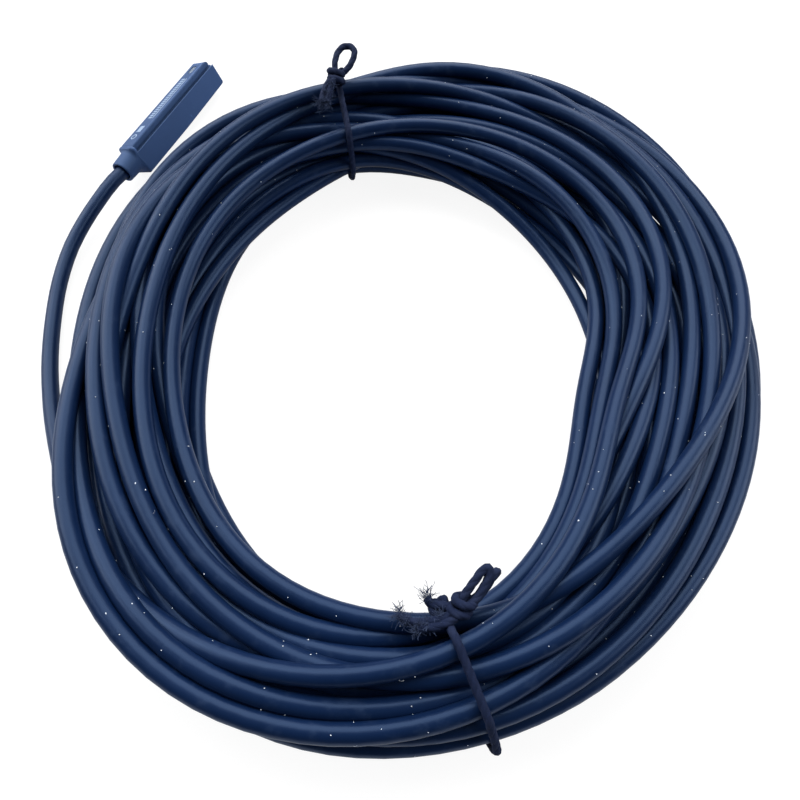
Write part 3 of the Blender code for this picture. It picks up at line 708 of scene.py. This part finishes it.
def add_lines(name, lines):
    """Edges along these lines, each a list of points and whether it is closed."""
    points, edges = [], []
    for line, closed in lines:
        first = len(points)
        points += line
        edges += [(index, index + 1) for index in range(first, len(points) - 1)]
        if closed:
            edges.append((len(points) - 1, first))
    return add_mesh(name, points, [], edges=edges)


def hand_over(obj, slot, *nodes):
    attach(obj, BODY)
    if nodes:
        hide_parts(*nodes)


def smooth_copy(name, angle):
    """A welded copy of a CAD piece, with flat faces flat and its rounded edges smooth."""
    obj = bpy.data.objects.new(f"{name}_finished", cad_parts[name].data.copy())
    bpy.context.scene.collection.objects.link(obj)
    change_mesh(obj.data, lambda bm: bmesh.ops.remove_doubles(bm, verts=bm.verts, dist=WELD))
    obj.data.shade_smooth()
    obj.data.set_sharp_from_angle(angle=angle)
    modifier = obj.modifiers.new("flat_faces", "WEIGHTED_NORMAL")
    modifier.keep_sharp = True
    bake_modifier(obj, modifier)
    obj.data.materials.clear()
    return obj


def smooth_route(points, step):
    """Points about this far apart on one smooth curve through the given ones."""
    points = [Vector(point) for point in points]
    places = [0.0]
    for first, second in zip(points, points[1:]):
        places.append(places[-1] + (second - first).length)
    slopes = []
    for index in range(len(points)):
        before, after = max(index - 1, 0), min(index + 1, len(points) - 1)
        slopes.append((points[after] - points[before]) / (places[after] - places[before]))
    count = max(2, round(places[-1] / step))
    route = []
    for number in range(count + 1):
        place = places[-1] * number / count
        index = max(i for i in range(len(points) - 1) if places[i] <= place + TINY)
        span = places[index + 1] - places[index]
        part = (place - places[index]) / span
        route.append(
            points[index] * (1 - 3 * part**2 + 2 * part**3)
            + slopes[index] * span * (part - 2 * part**2 + part**3)
            + points[index + 1] * (3 * part**2 - 2 * part**3)
            + slopes[index + 1] * span * (part**3 - part**2)
        )
    return route


def head_place():
    """The matrix of the head's own axes, found from the housing."""
    lean = Matrix.Rotation(HEAD_LEAN, 4, "X")
    back = lean.inverted()
    corners = np.array([back @ vert.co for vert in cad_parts["housing"].data.vertices])
    low, high = corners.min(axis=0), corners.max(axis=0)
    return lean @ Matrix.Translation((low[0] + COLLAR_LENGTH, (low[1] + high[1]) / 2, low[2]))


def between(before, first, second, after, part):
    """The value this part of the way from the first to the second, on a smooth curve through all four."""
    bend = 2 * before - 5 * first + 4 * second - after
    twist = 3 * (first - second) + after - before
    return first + 0.5 * part * (second - before + part * (bend + part * twist))


def around(values, turn):
    """A value between evenly spaced stations, on a smooth closed curve through them."""
    count = len(values)
    place = np.asarray(turn) / math.tau * count
    station = np.floor(place).astype(int)
    part = place - station
    return between(*(values[(station + step) % count] for step in (-1, 0, 1, 2)), part)


def coil_section(turn):
    """The bundle's section at this turn: centre radius, half width, half height and lift from the table."""
    radius, half, height = (around(sizes, turn) for sizes in (COIL_RADII, COIL_HALF_WIDTHS, COIL_HEIGHTS))
    lift = 0.0
    for name, tie_turn in TIE_TURNS.items():
        away = np.mod(turn - tie_turn + math.pi, math.tau) - math.pi
        grip = np.exp(-((away / TIE_SPREAD) ** 2))
        radius = radius + grip * (TIE_RADII[name] - radius)
        half = half + grip * (TIE_HALF_WIDTH - half)
        height = height + grip * (2 * TIE_HALF_WIDTH - height)
        lift = lift + grip * TIE_LIFT
    return radius, half, height / 2, lift


def coil_point(turn, radius, height):
    angle = turn + COIL_FIRST_STATION
    return Vector(
        (COIL_CENTRE[0] + radius * math.cos(angle), COIL_CENTRE[1] + radius * math.sin(angle), height)
    )


def beside_bundle(turn):
    """How far from the coil's centre a cable on the table lies when it touches the bundle's outer side."""
    radius, half, height, lift = coil_section(turn)
    reach = CABLE_DIAMETER / 2 + SEAT_GAP
    touching = 0.0
    for degree in range(-90, 91):
        angle = math.radians(degree)
        rise = lift + height * (1 + math.sin(angle)) - CABLE_DIAMETER / 2
        if abs(rise) < reach:
            touching = max(touching, radius + half * math.cos(angle) + math.sqrt(reach**2 - rise**2))
    return touching


def tail_reach(part):
    """How far out the far end's jacket lies, as it leaves the bundle's side little by little."""
    return beside_bundle(TAIL_FIRST + (TAIL_LAST - TAIL_FIRST) * part) + TAIL_LEAVE * part**2


def tail_point(part):
    return coil_point(TAIL_FIRST + (TAIL_LAST - TAIL_FIRST) * part, tail_reach(part), CABLE_DIAMETER / 2)


def core_ring(index):
    """Where a core lies in the cable's section, across and up from its centre."""
    angle = math.radians(CORE_ANGLES[index])
    reach = (CORE_DIAMETER + FINE_GAP) / math.sqrt(3)
    return reach * math.cos(angle), reach * math.sin(angle)


def tie_place(name):
    """A matrix at the middle of the bundle under a tie: X along the bundle, Y outwards, Z up."""
    turn = TIE_TURNS[name]
    radius, half, height, lift = coil_section(turn)
    angle = turn + COIL_FIRST_STATION
    along = Vector((-math.sin(angle), math.cos(angle), 0.0))
    out = Vector((math.cos(angle), math.sin(angle), 0.0))
    axes = Matrix((along, out, Vector((0.0, 0.0, 1.0)))).transposed().to_4x4()
    return Matrix.Translation(coil_point(turn, radius, lift + height)) @ axes


def band_line(name, centres):
    """The string's line tight round the cables' centres, in the tie's own axes in metres."""
    radius, half, height, lift = coil_section(TIE_TURNS[name])
    shift, slant = TIE_SLANTS[name]
    reach = (CABLE_DIAMETER + STRING_DIAMETER) / 2
    angles = [number * math.tau / HULL_SIDES for number in range(HULL_SIDES)]
    points = [
        Vector((out - radius + reach * math.cos(angle), up - lift - height + reach * math.sin(angle)))
        for out, up in centres
        for angle in angles
    ]
    hull = [points[index] for index in convex_hull_2d(points)]
    return [Vector((shift + slant * point.x, point.x, point.y)) for point in hull]


def knot_line(name, band):
    """A tight overhand knot that sits on the band, in the tie's own axes in metres."""
    angle = KNOT_ANGLES[name]
    outwards = Vector((0.0, math.cos(angle), math.sin(angle)))
    seat = max(band, key=lambda point: point.normalized() @ outwards)
    along = Vector((1.0, 0.0, 0.0))
    axes = Matrix((along, outwards.cross(along), outwards)).transposed()
    points = []
    for number in range(KNOT_TURN):
        turn = number * math.tau / KNOT_TURN
        place = Vector(
            (
                KNOT_SIZE * (math.sin(turn) + 2 * math.sin(2 * turn)),
                KNOT_SIZE * (math.cos(turn) - 2 * math.cos(2 * turn)),
                STRING_DIAMETER / 2 * (1 - math.sin(3 * turn)),
            )
        )
        points.append(seat + axes @ place)
    return points


def wrap_lines(name):
    """Two tight turns of string round the place where the loops meet, in the tie's own axes in metres."""
    middle, ahead = (Vector(values) for values in TIE_WRAPS[name])
    ahead.normalize()
    aside = ahead.orthogonal().normalized()
    over = ahead.cross(aside)
    angles = [number * math.tau / WRAP_TURN for number in range(WRAP_TURN)]
    return [
        [
            middle * MM
            + STRING_DIAMETER * (aside * math.cos(angle) + over * math.sin(angle))
            + STRING_DIAMETER * (shift + WRAP_TILT * math.sin(angle)) * ahead
            for angle in angles
        ]
        for shift in WRAP_SHIFTS
    ]


def fibre_lines(start, ahead, length, count, random):
    """Short curly fibres that fan out of a frayed end."""
    lines = []
    for fibre in range(count):
        point = start + Vector(random.normal(0.0, STRING_DIAMETER / 4, 3))
        direction = (ahead + Vector(random.normal(0.0, FIBRE_SPREAD, 3))).normalized()
        curl = Vector(random.normal(0.0, FIBRE_CURL, 3))
        step = length * random.uniform(*FIBRE_LENGTHS) / FIBRE_POINTS
        line = [point]
        for number in range(FIBRE_POINTS):
            direction = (direction + curl * 0.5 + Vector(random.normal(0.0, FIBRE_CURL / 2, 3))).normalized()
            line.append(line[-1] + direction * step)
        lines.append((line, False))
    return lines


class Winding:
    """The cable's turns, as rows of stations. Row 0 is the turn that the lead runs into, on top."""

    def __init__(self, seed):
        self.rows = TURNS + 1
        self.turn = np.arange(STATIONS) * math.tau / STATIONS
        self.radius, self.half, self.height, self.lift = coil_section(self.turn)
        live = np.zeros(self.rows * STATIONS, bool)
        live[FIRST_STATION : LAST_STATION + 1] = True
        self.live = live.reshape(self.rows, STATIONS)
        self.both = self.live[:, None] & self.live[None] & ~np.eye(self.rows, dtype=bool)[:, :, None]
        self.floor = CABLE_DIAMETER / 2 + self.lift
        wander = self.wandering(np.random.default_rng(seed))
        self.target = self.radius + (self.half - CABLE_DIAMETER / 2) * wander
        self.out = self.target.copy()
        rows = np.arange(self.rows)[::-1, None]
        self.up = self.floor + rows * START_PITCH * np.ones(STATIONS)
        self.measure_grip()
        self.measure_stiffness()
        self.pin_ends()

    def wandering(self, random):
        """How far across the bundle each station lies, from -1 to 1."""
        count = self.rows * KNOTS + 1
        walk = np.empty(count)
        walk[0] = WALK_START
        for index in range(1, count):
            walk[index] = KNOT_MEMORY * walk[index - 1] + math.sqrt(1 - KNOT_MEMORY**2) * random.normal()
        places = np.linspace(-1, 1, ROOM_SAMPLES)
        room = np.cumsum((1 - places**2) ** ROOM_POWER)
        room /= room[-1]
        across = np.empty(count)
        for knot in range(KNOTS):
            own = np.arange(knot, count, KNOTS)
            rank = np.argsort(np.argsort(walk[own]))
            across[own] = np.interp((rank + 0.5) / len(own), room, places)
        place = np.arange(self.rows * STATIONS) * KNOTS / STATIONS
        index = np.minimum(place.astype(int), count - 2)
        part = place - index
        padded = np.concatenate([across[:1], across, across[-1:]])
        after = padded[np.minimum(index + 3, len(padded) - 1)]
        across = between(padded[index], padded[index + 1], padded[index + 2], after, part)
        return np.clip(across, -1, 1).reshape(self.rows, STATIONS)

    def measure_grip(self):
        """How far from the bundle's centre a tie lets a cable lie, and how much the string squeezes it."""
        self.reach = np.full(STATIONS, 1.0)
        near = np.zeros(STATIONS)
        for name, tie_turn in TIE_TURNS.items():
            away = np.abs(np.mod(self.turn - tie_turn + math.pi, math.tau) - math.pi) * TIE_RADII[name]
            free = np.maximum(away - GRIP_LENGTH, 0) * GRIP_SLOPE
            self.reach = np.minimum(self.reach, TIE_HALF_WIDTH - CABLE_DIAMETER / 2 + free)
            near = np.maximum(near, np.exp(-((away / SQUEEZE_LENGTH) ** 2)))
        self.size = CABLE_DIAMETER - SQUEEZE * near

    def measure_stiffness(self):
        """How much of each wave along the cable its stiffness leaves, step by step."""
        count = LAST_STATION - FIRST_STATION + 1
        wave = np.arange(count + 1) * math.pi / count
        self.gain = 1 / (1 + STIFFNESS * (2 - 2 * np.cos(wave)) ** 2)

    def bend_back(self, field):
        """Takes the short bends out of the cable, as its stiffness does."""
        chain = field.reshape(-1)[FIRST_STATION : LAST_STATION + 1]
        slope = np.linspace(chain[0], chain[-1], len(chain))
        there_and_back = np.concatenate([chain - slope, (slope - chain)[::-1]])
        smooth = np.fft.irfft(np.fft.rfft(there_and_back) * self.gain, len(there_and_back))
        chain[:] = smooth[: len(chain)] + slope

    def pin_ends(self):
        """The stations that are held: where the lead joins, and the far end on the table."""
        self.pins, self.pin_out, self.pin_up = [], [], []
        for number in range(LEAD_JOINS):
            part = number / (LEAD_JOINS - 1)
            self.pins.append(FIRST_STATION + number)
            self.pin_out.append(LEAD_OUT - LEAD_TUCK * part * (2 - part))
            self.pin_up.append(LEAD_UP + LEAD_CLIMB * part * (1 + LEAD_EASE - LEAD_EASE * part))
        for station in range(math.ceil(TAIL_FIRST / math.tau * STATIONS), LAST_STATION % STATIONS + 1):
            part = (station * math.tau / STATIONS - TAIL_FIRST) / (TAIL_LAST - TAIL_FIRST)
            self.pins.append(STATIONS * TURNS + station)
            self.pin_out.append(tail_reach(part))
            self.pin_up.append(CABLE_DIAMETER / 2)

    def pushes(self):
        """What the cables, the ties, the bundle's sides and the table push each station by, out and up."""
        across = self.out[:, None] - self.out[None]
        rise = self.up[:, None] - self.up[None]
        gap = np.sqrt(across**2 + rise**2) + TINY
        share = np.where(self.both & (gap < self.size), (self.size - gap) / gap, 0) * PUSH
        out, up = (share * across).sum(1), (share * rise).sum(1)
        across, rise = self.out - self.radius, self.up - self.lift - TIE_HALF_WIDTH
        far = np.sqrt(across**2 + rise**2) + TINY
        pull = np.minimum(0, self.reach / far - 1) * np.where(self.reach < GRIP_LIMIT, 1, 0)
        out += across * pull
        up += rise * pull
        up += np.maximum(self.floor - self.up, 0)
        return out + self.widening(), up

    def widening(self):
        """Spreads the turns evenly outwards and inwards until they fill the bundle's width."""
        low = np.where(self.live, self.out, np.inf).min(0)
        high = np.where(self.live, self.out, -np.inf).max(0)
        side = self.half - CABLE_DIAMETER / 2
        share = (self.out - low) / (high - low)
        return (self.radius + side * (2 * share - 1) - self.out) * WIDENING

    def settle(self, steps):
        """Lets the turns sink on to one another."""
        for step in range(steps):
            slack = max(0.0, 1 - step / (steps * SETTLE_SHARE))
            out, up = self.pushes()
            self.out += out + (self.target - self.out) * (PULL_FIRST * slack + PULL_LAST)
            self.up += up - (WEIGHT_FIRST * slack + WEIGHT_LAST) * MM
            self.out.reshape(-1)[self.pins] = self.pin_out
            self.up.reshape(-1)[self.pins] = self.pin_up
            self.bend_back(self.out)
            self.bend_back(self.up)
        self.up = np.maximum(self.up, self.floor)

    def points(self):
        numbers = np.arange(FIRST_STATION, LAST_STATION + 1)
        out, up = self.out.reshape(-1)[numbers], self.up.reshape(-1)[numbers]
        return [
            coil_point(number * math.tau / STATIONS, radius, height)
            for number, radius, height in zip(numbers, out, up)
        ]

    def section_at(self, turn):
        """The centres of all cables that cross the bundle at this turn, as (out, up) pairs."""
        place = turn / math.tau * STATIONS
        station = int(place)
        part = place - station
        both = self.live[:, station] & self.live[:, station + 1]
        out = self.out[:, station] * (1 - part) + self.out[:, station + 1] * part
        up = self.up[:, station] * (1 - part) + self.up[:, station + 1] * part
        return [(a, b) for a, b, live in zip(out, up, both) if live]


def face_outwards(obj):
    change_mesh(obj.data, lambda bm: bmesh.ops.recalc_face_normals(bm, faces=bm.faces))


def dress(name, finish):
    """Gives a CAD piece its finish."""
    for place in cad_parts[name].material_slots:
        place.material = finish


def tube(name, points, radius, sides, finish):
    """A closed tube along these points, with UVs in metres along it and from 0 to 1 round it."""
    points = np.array([tuple(point) for point in points])
    ahead = np.gradient(points, axis=0)
    ahead /= np.linalg.norm(ahead, axis=1)[:, None]
    side = np.cross(ahead[0], (0.0, 0.0, 1.0))
    sides_of = []
    for direction in ahead:
        side = side - direction * (side @ direction)
        side = side / np.linalg.norm(side)
        sides_of.append(side)
    across = np.array(sides_of)
    up = np.cross(ahead, across)
    angles = np.arange(sides) * math.tau / sides
    ring = across[:, None] * np.cos(angles)[None, :, None] + up[:, None] * np.sin(angles)[None, :, None]
    verts = (points[:, None] + radius * ring).reshape(-1, 3)
    places = np.concatenate([[0], np.cumsum(np.linalg.norm(np.diff(points, axis=0), axis=1))])
    count = len(points)
    faces, uvs = [], []
    for index in range(count - 1):
        low, high = index * sides, (index + 1) * sides
        here, there = places[index], places[index + 1]
        for number in range(sides):
            beside = (number + 1) % sides
            faces.append((low + number, low + beside, high + beside, high + number))
            first, second = number / sides, (number + 1) / sides
            uvs += [(here, first), (here, second), (there, second), (there, first)]
    faces.append(tuple(range(sides))[::-1])
    faces.append(tuple((count - 1) * sides + number for number in range(sides)))
    uvs += [(0.0, 0.0)] * sides + [(places[-1], 0.0)] * sides
    obj = add_mesh(name, verts, faces, finish)
    layer = obj.data.uv_layers.new(name="cable")
    layer.data.foreach_set("uv", np.array(uvs, np.float32).reshape(-1))
    face_outwards(obj)
    obj.data.shade_smooth()
    obj.data.set_sharp_from_angle(angle=TUBE_EDGE)
    return obj


def colour_setting(name, description, default):
    return FloatVectorProperty(
        name=name, description=description, subtype="COLOR", size=4, min=0.0, max=1.0, default=(*default, 1.0)
    )


class CableSettings(bpy.types.PropertyGroup):
    jacket_colour: colour_setting("Jacket colour", "Colour of the cable's jacket", (0.0034, 0.0122, 0.045))
    seed: IntProperty(name="Winding seed", description="Which way the turns wander", default=3, min=0)


class TieSettings(bpy.types.PropertyGroup):
    string_colour: colour_setting("String colour", "Colour of the string of the ties", (0.003, 0.0085, 0.033))
    twist_length: FloatProperty(
        name="Twist length", description="Length in which the string's strands go round once",
        default=4.4 * MM, min=1.0 * MM, max=20.0 * MM, unit="LENGTH",
    )
    seed: IntProperty(name="Fibre seed", description="How the frayed fibres curl", default=5, min=0)


class HeadSettings(bpy.types.PropertyGroup):
    housing_colour: colour_setting("Housing colour", "Colour of the moulded head", (0.032, 0.063, 0.15))
    print_colour: colour_setting("Print colour", "Colour of the marks on the rail", (0.26, 0.35, 0.5))


class DustSettings(bpy.types.PropertyGroup):
    density: FloatProperty(
        name="Dust density", description="Specks on each square metre that faces up",
        default=22000.0, min=0.0, max=60000.0,
    )
    size: FloatProperty(
        name="Speck size", description="Radius of the largest specks",
        default=0.13 * MM, min=0.02 * MM, max=0.5 * MM, unit="LENGTH",
    )
    seed: IntProperty(name="Dust seed", description="Where the dust has settled", default=11, min=0)


class StageSettings(bpy.types.PropertyGroup):
    lamp_power: FloatProperty(
        name="Lamp power", description="Power that each lamp gives its share of", default=6.5, min=0.0,
        unit="POWER",
    )
    sky: FloatProperty(name="Room light", description="Strength of the even light", default=0.08, min=0.0)


class SENSOR_OT_set_stage(bpy.types.Operator):
    """Sets up the white table, the lamps and the camera"""

    bl_idname = "sensor.set_stage"
    bl_label = "Set the stage"

    def execute(self, context):
        scene, settings = context.scene, context.scene.sensor_stage
        scene.view_settings.view_transform = "Standard"
        corners = [(x * TABLE_REACH, y * TABLE_REACH, 0.0) for x, y in ((-1, -1), (1, -1), (1, 1), (-1, 1))]
        add_mesh("table", corners, [(0, 1, 2, 3)], table_finish())
        world = bpy.data.worlds.new("studio")
        scene.world = world
        world.use_nodes = True
        background = world.node_tree.nodes["Background"]
        background.inputs["Color"].default_value = ROOM_COLOUR
        background.inputs["Strength"].default_value = settings.sky
        middle = Vector((*COIL_CENTRE, 0.0))
        for name, (place, width, share) in LAMPS.items():
            light = bpy.data.lights.new(name, "AREA")
            light.size = width
            light.energy = settings.lamp_power * share
            lamp = bpy.data.objects.new(name, light)
            scene.collection.objects.link(lamp)
            lamp.location = place
            lamp.rotation_euler = (middle - Vector(place)).to_track_quat("-Z", "Y").to_euler()
        camera = bpy.data.objects.new("camera", bpy.data.cameras.new("camera"))
        camera.data.lens = CAMERA_LENS
        camera.data.clip_start = CAMERA_NEAR
        scene.collection.objects.link(camera)
        camera.location = CAMERA_PLACE
        camera.rotation_euler = CAMERA_TURN
        scene.camera = camera
        return {"FINISHED"}


class SENSOR_OT_wind_cable(bpy.types.Operator):
    """Winds and settles the cable, from the collar to its far end"""

    bl_idname = "sensor.wind_cable"
    bl_label = "Wind the cable"

    def execute(self, context):
        settings = context.scene.sensor_cable
        winding = Winding(settings.seed)
        winding.settle(SETTLE_STEPS)
        head = head_place()
        starts = (JACKET_IN_COLLAR - COLLAR_LENGTH, -COLLAR_LENGTH)
        inside = [head @ Vector((along, 0.0, COLLAR_HEIGHT)) for along in starts]
        coil = winding.points()
        join = LEAD_JOINS // 2
        path = smooth_route([*inside, *LEAD_ROUTE, *coil[join : join + 2]], CABLE_DIAMETER)[:-1]
        path += [*coil[join + 1 :], tail_point(1.0)]
        cable = tube("cable", path, CABLE_DIAMETER / 2, CABLE_SIDES, jacket_finish(settings))
        hand_over(cable, "jacket", "cable_lead", "cable_coil", "cable_tail")
        SETTLED.update(winding=winding, path=path, exit=inside[1])
        return {"FINISHED"}


class SENSOR_OT_tie_bundle(bpy.types.Operator):
    """Ties the bundle with two strings, each with its knot, loops and frayed ends"""

    bl_idname = "sensor.tie_bundle"
    bl_label = "Tie the bundle"

    def execute(self, context):
        settings = context.scene.sensor_ties
        string = string_finish(settings)
        radius = STRING_DIAMETER / 2 * STRAND_SHARE
        string_recipe = strand_recipe(
            "twisted_string", string, STRING_STRANDS, STRING_DIAMETER / 2 - radius, radius,
            settings.twist_length, STRING_STEP, STRING_SIDES,
        )
        fibre_recipe = strand_recipe(
            "fibres", fray_finish(), 1, 0.0, FIBRE_RADIUS, settings.twist_length, STRING_STEP, FIBRE_SIDES
        )
        random = np.random.default_rng(settings.seed)
        for name, turn in TIE_TURNS.items():
            place = tie_place(name)
            band = band_line(name, SETTLED["winding"].section_at(turn))
            lines = [(band, True), (knot_line(name, band), True)]
            lines += [(wrap, True) for wrap in wrap_lines(name)]
            lines += [
                (smooth_route([Vector(point) * MM for point in points], STRING_STEP), False)
                for points in TIE_LOOPS[name]
            ]
            lines = [([place @ point for point in line], closed) for line, closed in lines]
            hand_over(string_recipe.make(add_lines(f"{name}_string", lines)), "string", name)
            fibres = []
            for start, ahead, length, count in TIE_FRAYS[name]:
                start, ahead = Vector(start) * MM, Vector(ahead).normalized()
                fibres += fibre_lines(start, ahead, length * MM, count, random)
            fibres = [([place @ point for point in line], closed) for line, closed in fibres]
            hand_over(fibre_recipe.make(add_lines(f"{name}_fibres", fibres)), "string")
        return {"FINISHED"}


class SENSOR_OT_strip_far_end(bpy.types.Operator):
    """Makes the bare cores at the cable's far end, and their tinned, twisted tips"""

    bl_idname = "sensor.strip_far_end"
    bl_label = "Strip the far end"

    def execute(self, context):
        route = [tail_point(number / (TAIL_POINTS - 1)) for number in range(TAIL_POINTS)]
        end = route[-1]
        ahead = (route[-1] - route[-2]).normalized()
        side = Vector((ahead.y, -ahead.x, 0.0))
        floor = CORE_DIAMETER / 2
        tinned = speckled_finish("tinned_copper", TINNED_COLOUR, 0.3 * MM, 0.28, metallic=1.0, spread=0.12)
        tips = strand_recipe(
            "twisted_tip", tinned, TIP_STRANDS, TIP_RADIUS - TIP_WIRE_RADIUS, TIP_WIRE_RADIUS,
            TIP_TWIST, STRING_STEP, TIP_SIDES,
        )
        for index, (name, colour) in enumerate(CORE_COLOURS.items()):
            across, up = core_ring(index)
            points = [end + Vector((0.0, 0.0, up)) + side * across - ahead * CORE_DIAMETER]
            for number in range(CORE_POINTS):
                part = number / (CORE_POINTS - 1)
                spread = across + (index - 1) * CORE_SPREAD * part - across * part
                rise = (1 - part) ** 2
                level = max(floor, (CABLE_DIAMETER / 2 + up) * rise + floor * (1 - rise))
                along = FINE_GAP + (STRIPPED_LENGTH - TIP_LENGTH) * part
                points.append(end + ahead * along + side * spread + Vector((0.0, 0.0, level - end.z)))
            finish = core_finish(f"core_{name}", colour)
            core = tube(f"core_{name}", smooth_route(points, CORE_DIAMETER), floor, CORE_SIDES, finish)
            hand_over(core, f"core_{name}", f"wire_{name}_end")
            onward = (points[-1] - points[-2]).normalized()
            onward.z = 0.0
            lowered = Vector((0.0, 0.0, TIP_RADIUS - floor))
            line = [points[-1] + onward * along + lowered * fall for along, fall in TIP_FALL]
            tip = tips.make(add_lines(f"tip_{name}_strands", [(line, False)]))
            hand_over(tip, "tinned_copper", f"tip_{name}")
        return {"FINISHED"}


class SENSOR_OT_finish_head(bpy.types.Operator):
    """Gives the moulded head its rounded edges with a painted highlight, grain and wear, and the window its
    clear finish
    """

    bl_idname = "sensor.finish_head"
    bl_label = "Finish the head"

    def execute(self, context):
        housing = smooth_copy("housing", HOUSING_EDGE)
        housing.data.materials.append(housing_finish(context.scene.sensor_head))
        hand_over(housing, "housing_plastic", "housing")
        dress("indicator_lens", clear_finish())
        return {"FINISHED"}


class SENSOR_OT_print_marks(bpy.types.Operator):
    """Prints plain pale marks on the rail"""

    bl_idname = "sensor.print_marks"
    bl_label = "Print the marks"

    def execute(self, context):
        low, high = RAIL_TOP - MARK_THICKNESS / 2, RAIL_TOP + MARK_THICKNESS / 2
        corners, faces = [], []
        for start, across, width, lengths in MARK_ROWS:
            for length in lengths:
                first = len(corners)
                for level in (low, high):
                    for along, aside in ((0, -0.5), (1, -0.5), (1, 0.5), (0, 0.5)):
                        corners.append((start + along * length, across + aside * width, level))
                faces += [[first + corner for corner in face] for face in BOX_FACES]
                start += length + MARK_SPACE
        first = len(corners)
        inner, outer = RING_RADII
        for number in range(RING_SIDES):
            angle = number * math.tau / RING_SIDES
            for radius, level in ((inner, low), (outer, low), (outer, high), (inner, high)):
                along = RING_PLACE[0] + radius * math.cos(angle)
                corners.append((along, RING_PLACE[1] + radius * math.sin(angle), level))
        for number in range(RING_SIDES):
            here, there = first + 4 * number, first + 4 * ((number + 1) % RING_SIDES)
            faces += [
                [here + corner, here + (corner + 1) % 4, there + (corner + 1) % 4, there + corner]
                for corner in range(4)
            ]
        head = head_place()
        points = [head @ Vector((along * MM, across * MM, level)) for along, across, level in corners]
        marks = add_mesh("rail_marks", points, faces, print_finish(context.scene.sensor_head))
        face_outwards(marks)
        hand_over(marks, "housing_plastic")
        return {"FINISHED"}


class SENSOR_OT_finish_board(bpy.types.Operator):
    """Gives the board, what is on it, and its wires their finishes"""

    bl_idname = "sensor.finish_board"
    bl_label = "Finish the board"

    def execute(self, context):
        dress("circuit_board", board_finish())
        chip = speckled_finish("chip", CHIP_COLOUR, 0.2 * MM, 0.55, spread=0.3)
        for name in ("magnet_sensor_chip", "output_driver_chip", "resistor_led", "resistor_pullup"):
            dress(name, chip)
        dress("capacitor", speckled_finish("ceramic", CERAMIC_COLOUR, 0.2 * MM, 0.4, spread=0.15))
        dress("indicator_led", speckled_finish("led", LED_COLOUR, 0.3 * MM, 0.25, spread=0.08))
        for name, colour in CORE_COLOURS.items():
            dress(f"wire_{name}_board", core_finish(f"board_wire_{name}", colour))
        return {"FINISHED"}


class SENSOR_OT_scatter_dust(bpy.types.Operator):
    """Scatters fine dust and lint over the cable"""

    bl_idname = "sensor.scatter_dust"
    bl_label = "Scatter the dust"

    def execute(self, context):
        settings = context.scene.sensor_dust
        recipe = dust_recipe(dust_finish(), settings.density, settings.size, settings.seed)
        dust = bpy.data.objects.new("dust", bpy.data.objects["cable"].data.copy())
        context.scene.collection.objects.link(dust)
        hand_over(recipe.make(dust), "string")
        return {"FINISHED"}


class SENSOR_OT_join_cord(bpy.types.Operator):
    bl_idname = "sensor.join_cord"
    bl_label = "Measure the cable"

    def execute(self, context):
        names = ["dust"]
        for name in TIE_TURNS:
            names += [f"{name}_string", f"{name}_fibres"]
        for name in CORE_COLOURS:
            names += [f"core_{name}", f"tip_{name}_strands"]
        return {"FINISHED"}


class SENSOR_PT_finish(bpy.types.Panel):
    """Lists the steps and sizes of the sensor's finish"""

    bl_label = "Sensor finish"
    bl_idname = "SENSOR_PT_finish"
    bl_space_type = "VIEW_3D"
    bl_region_type = "UI"
    bl_category = "Sensor"

    def draw(self, context):
        for name in SETTINGS:
            settings = getattr(context.scene, name)
            box = self.layout.box()
            for setting in settings.bl_rna.properties:
                if setting.identifier not in ("rna_type", "name"):
                    box.prop(settings, setting.identifier)
        for step in STEPS:
            self.layout.operator(step.bl_idname)


SETTINGS = {
    "sensor_stage": StageSettings,
    "sensor_cable": CableSettings,
    "sensor_ties": TieSettings,
    "sensor_head": HeadSettings,
    "sensor_dust": DustSettings,
}
STEPS = (
    SENSOR_OT_set_stage,
    SENSOR_OT_wind_cable,
    SENSOR_OT_tie_bundle,
    SENSOR_OT_strip_far_end,
    SENSOR_OT_finish_head,
    SENSOR_OT_print_marks,
    SENSOR_OT_finish_board,
    SENSOR_OT_scatter_dust,
    SENSOR_OT_join_cord,
)


def register():
    for kind in (*SETTINGS.values(), *STEPS, SENSOR_PT_finish):
        bpy.utils.register_class(kind)
    for name, kind in SETTINGS.items():
        setattr(bpy.types.Scene, name, PointerProperty(type=kind))


def unregister():
    for name in SETTINGS:
        delattr(bpy.types.Scene, name)
    for kind in reversed((*SETTINGS.values(), *STEPS, SENSOR_PT_finish)):
        bpy.utils.unregister_class(kind)


def main():
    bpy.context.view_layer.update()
    register()
    bpy.ops.sensor.set_stage()
    bpy.ops.sensor.wind_cable()
    bpy.ops.sensor.tie_bundle()
    bpy.ops.sensor.strip_far_end()
    bpy.ops.sensor.finish_head()
    bpy.ops.sensor.print_marks()
    bpy.ops.sensor.finish_board()
    bpy.ops.sensor.scatter_dust()
    bpy.ops.sensor.join_cord()


if __name__ == "__main__":
    main()
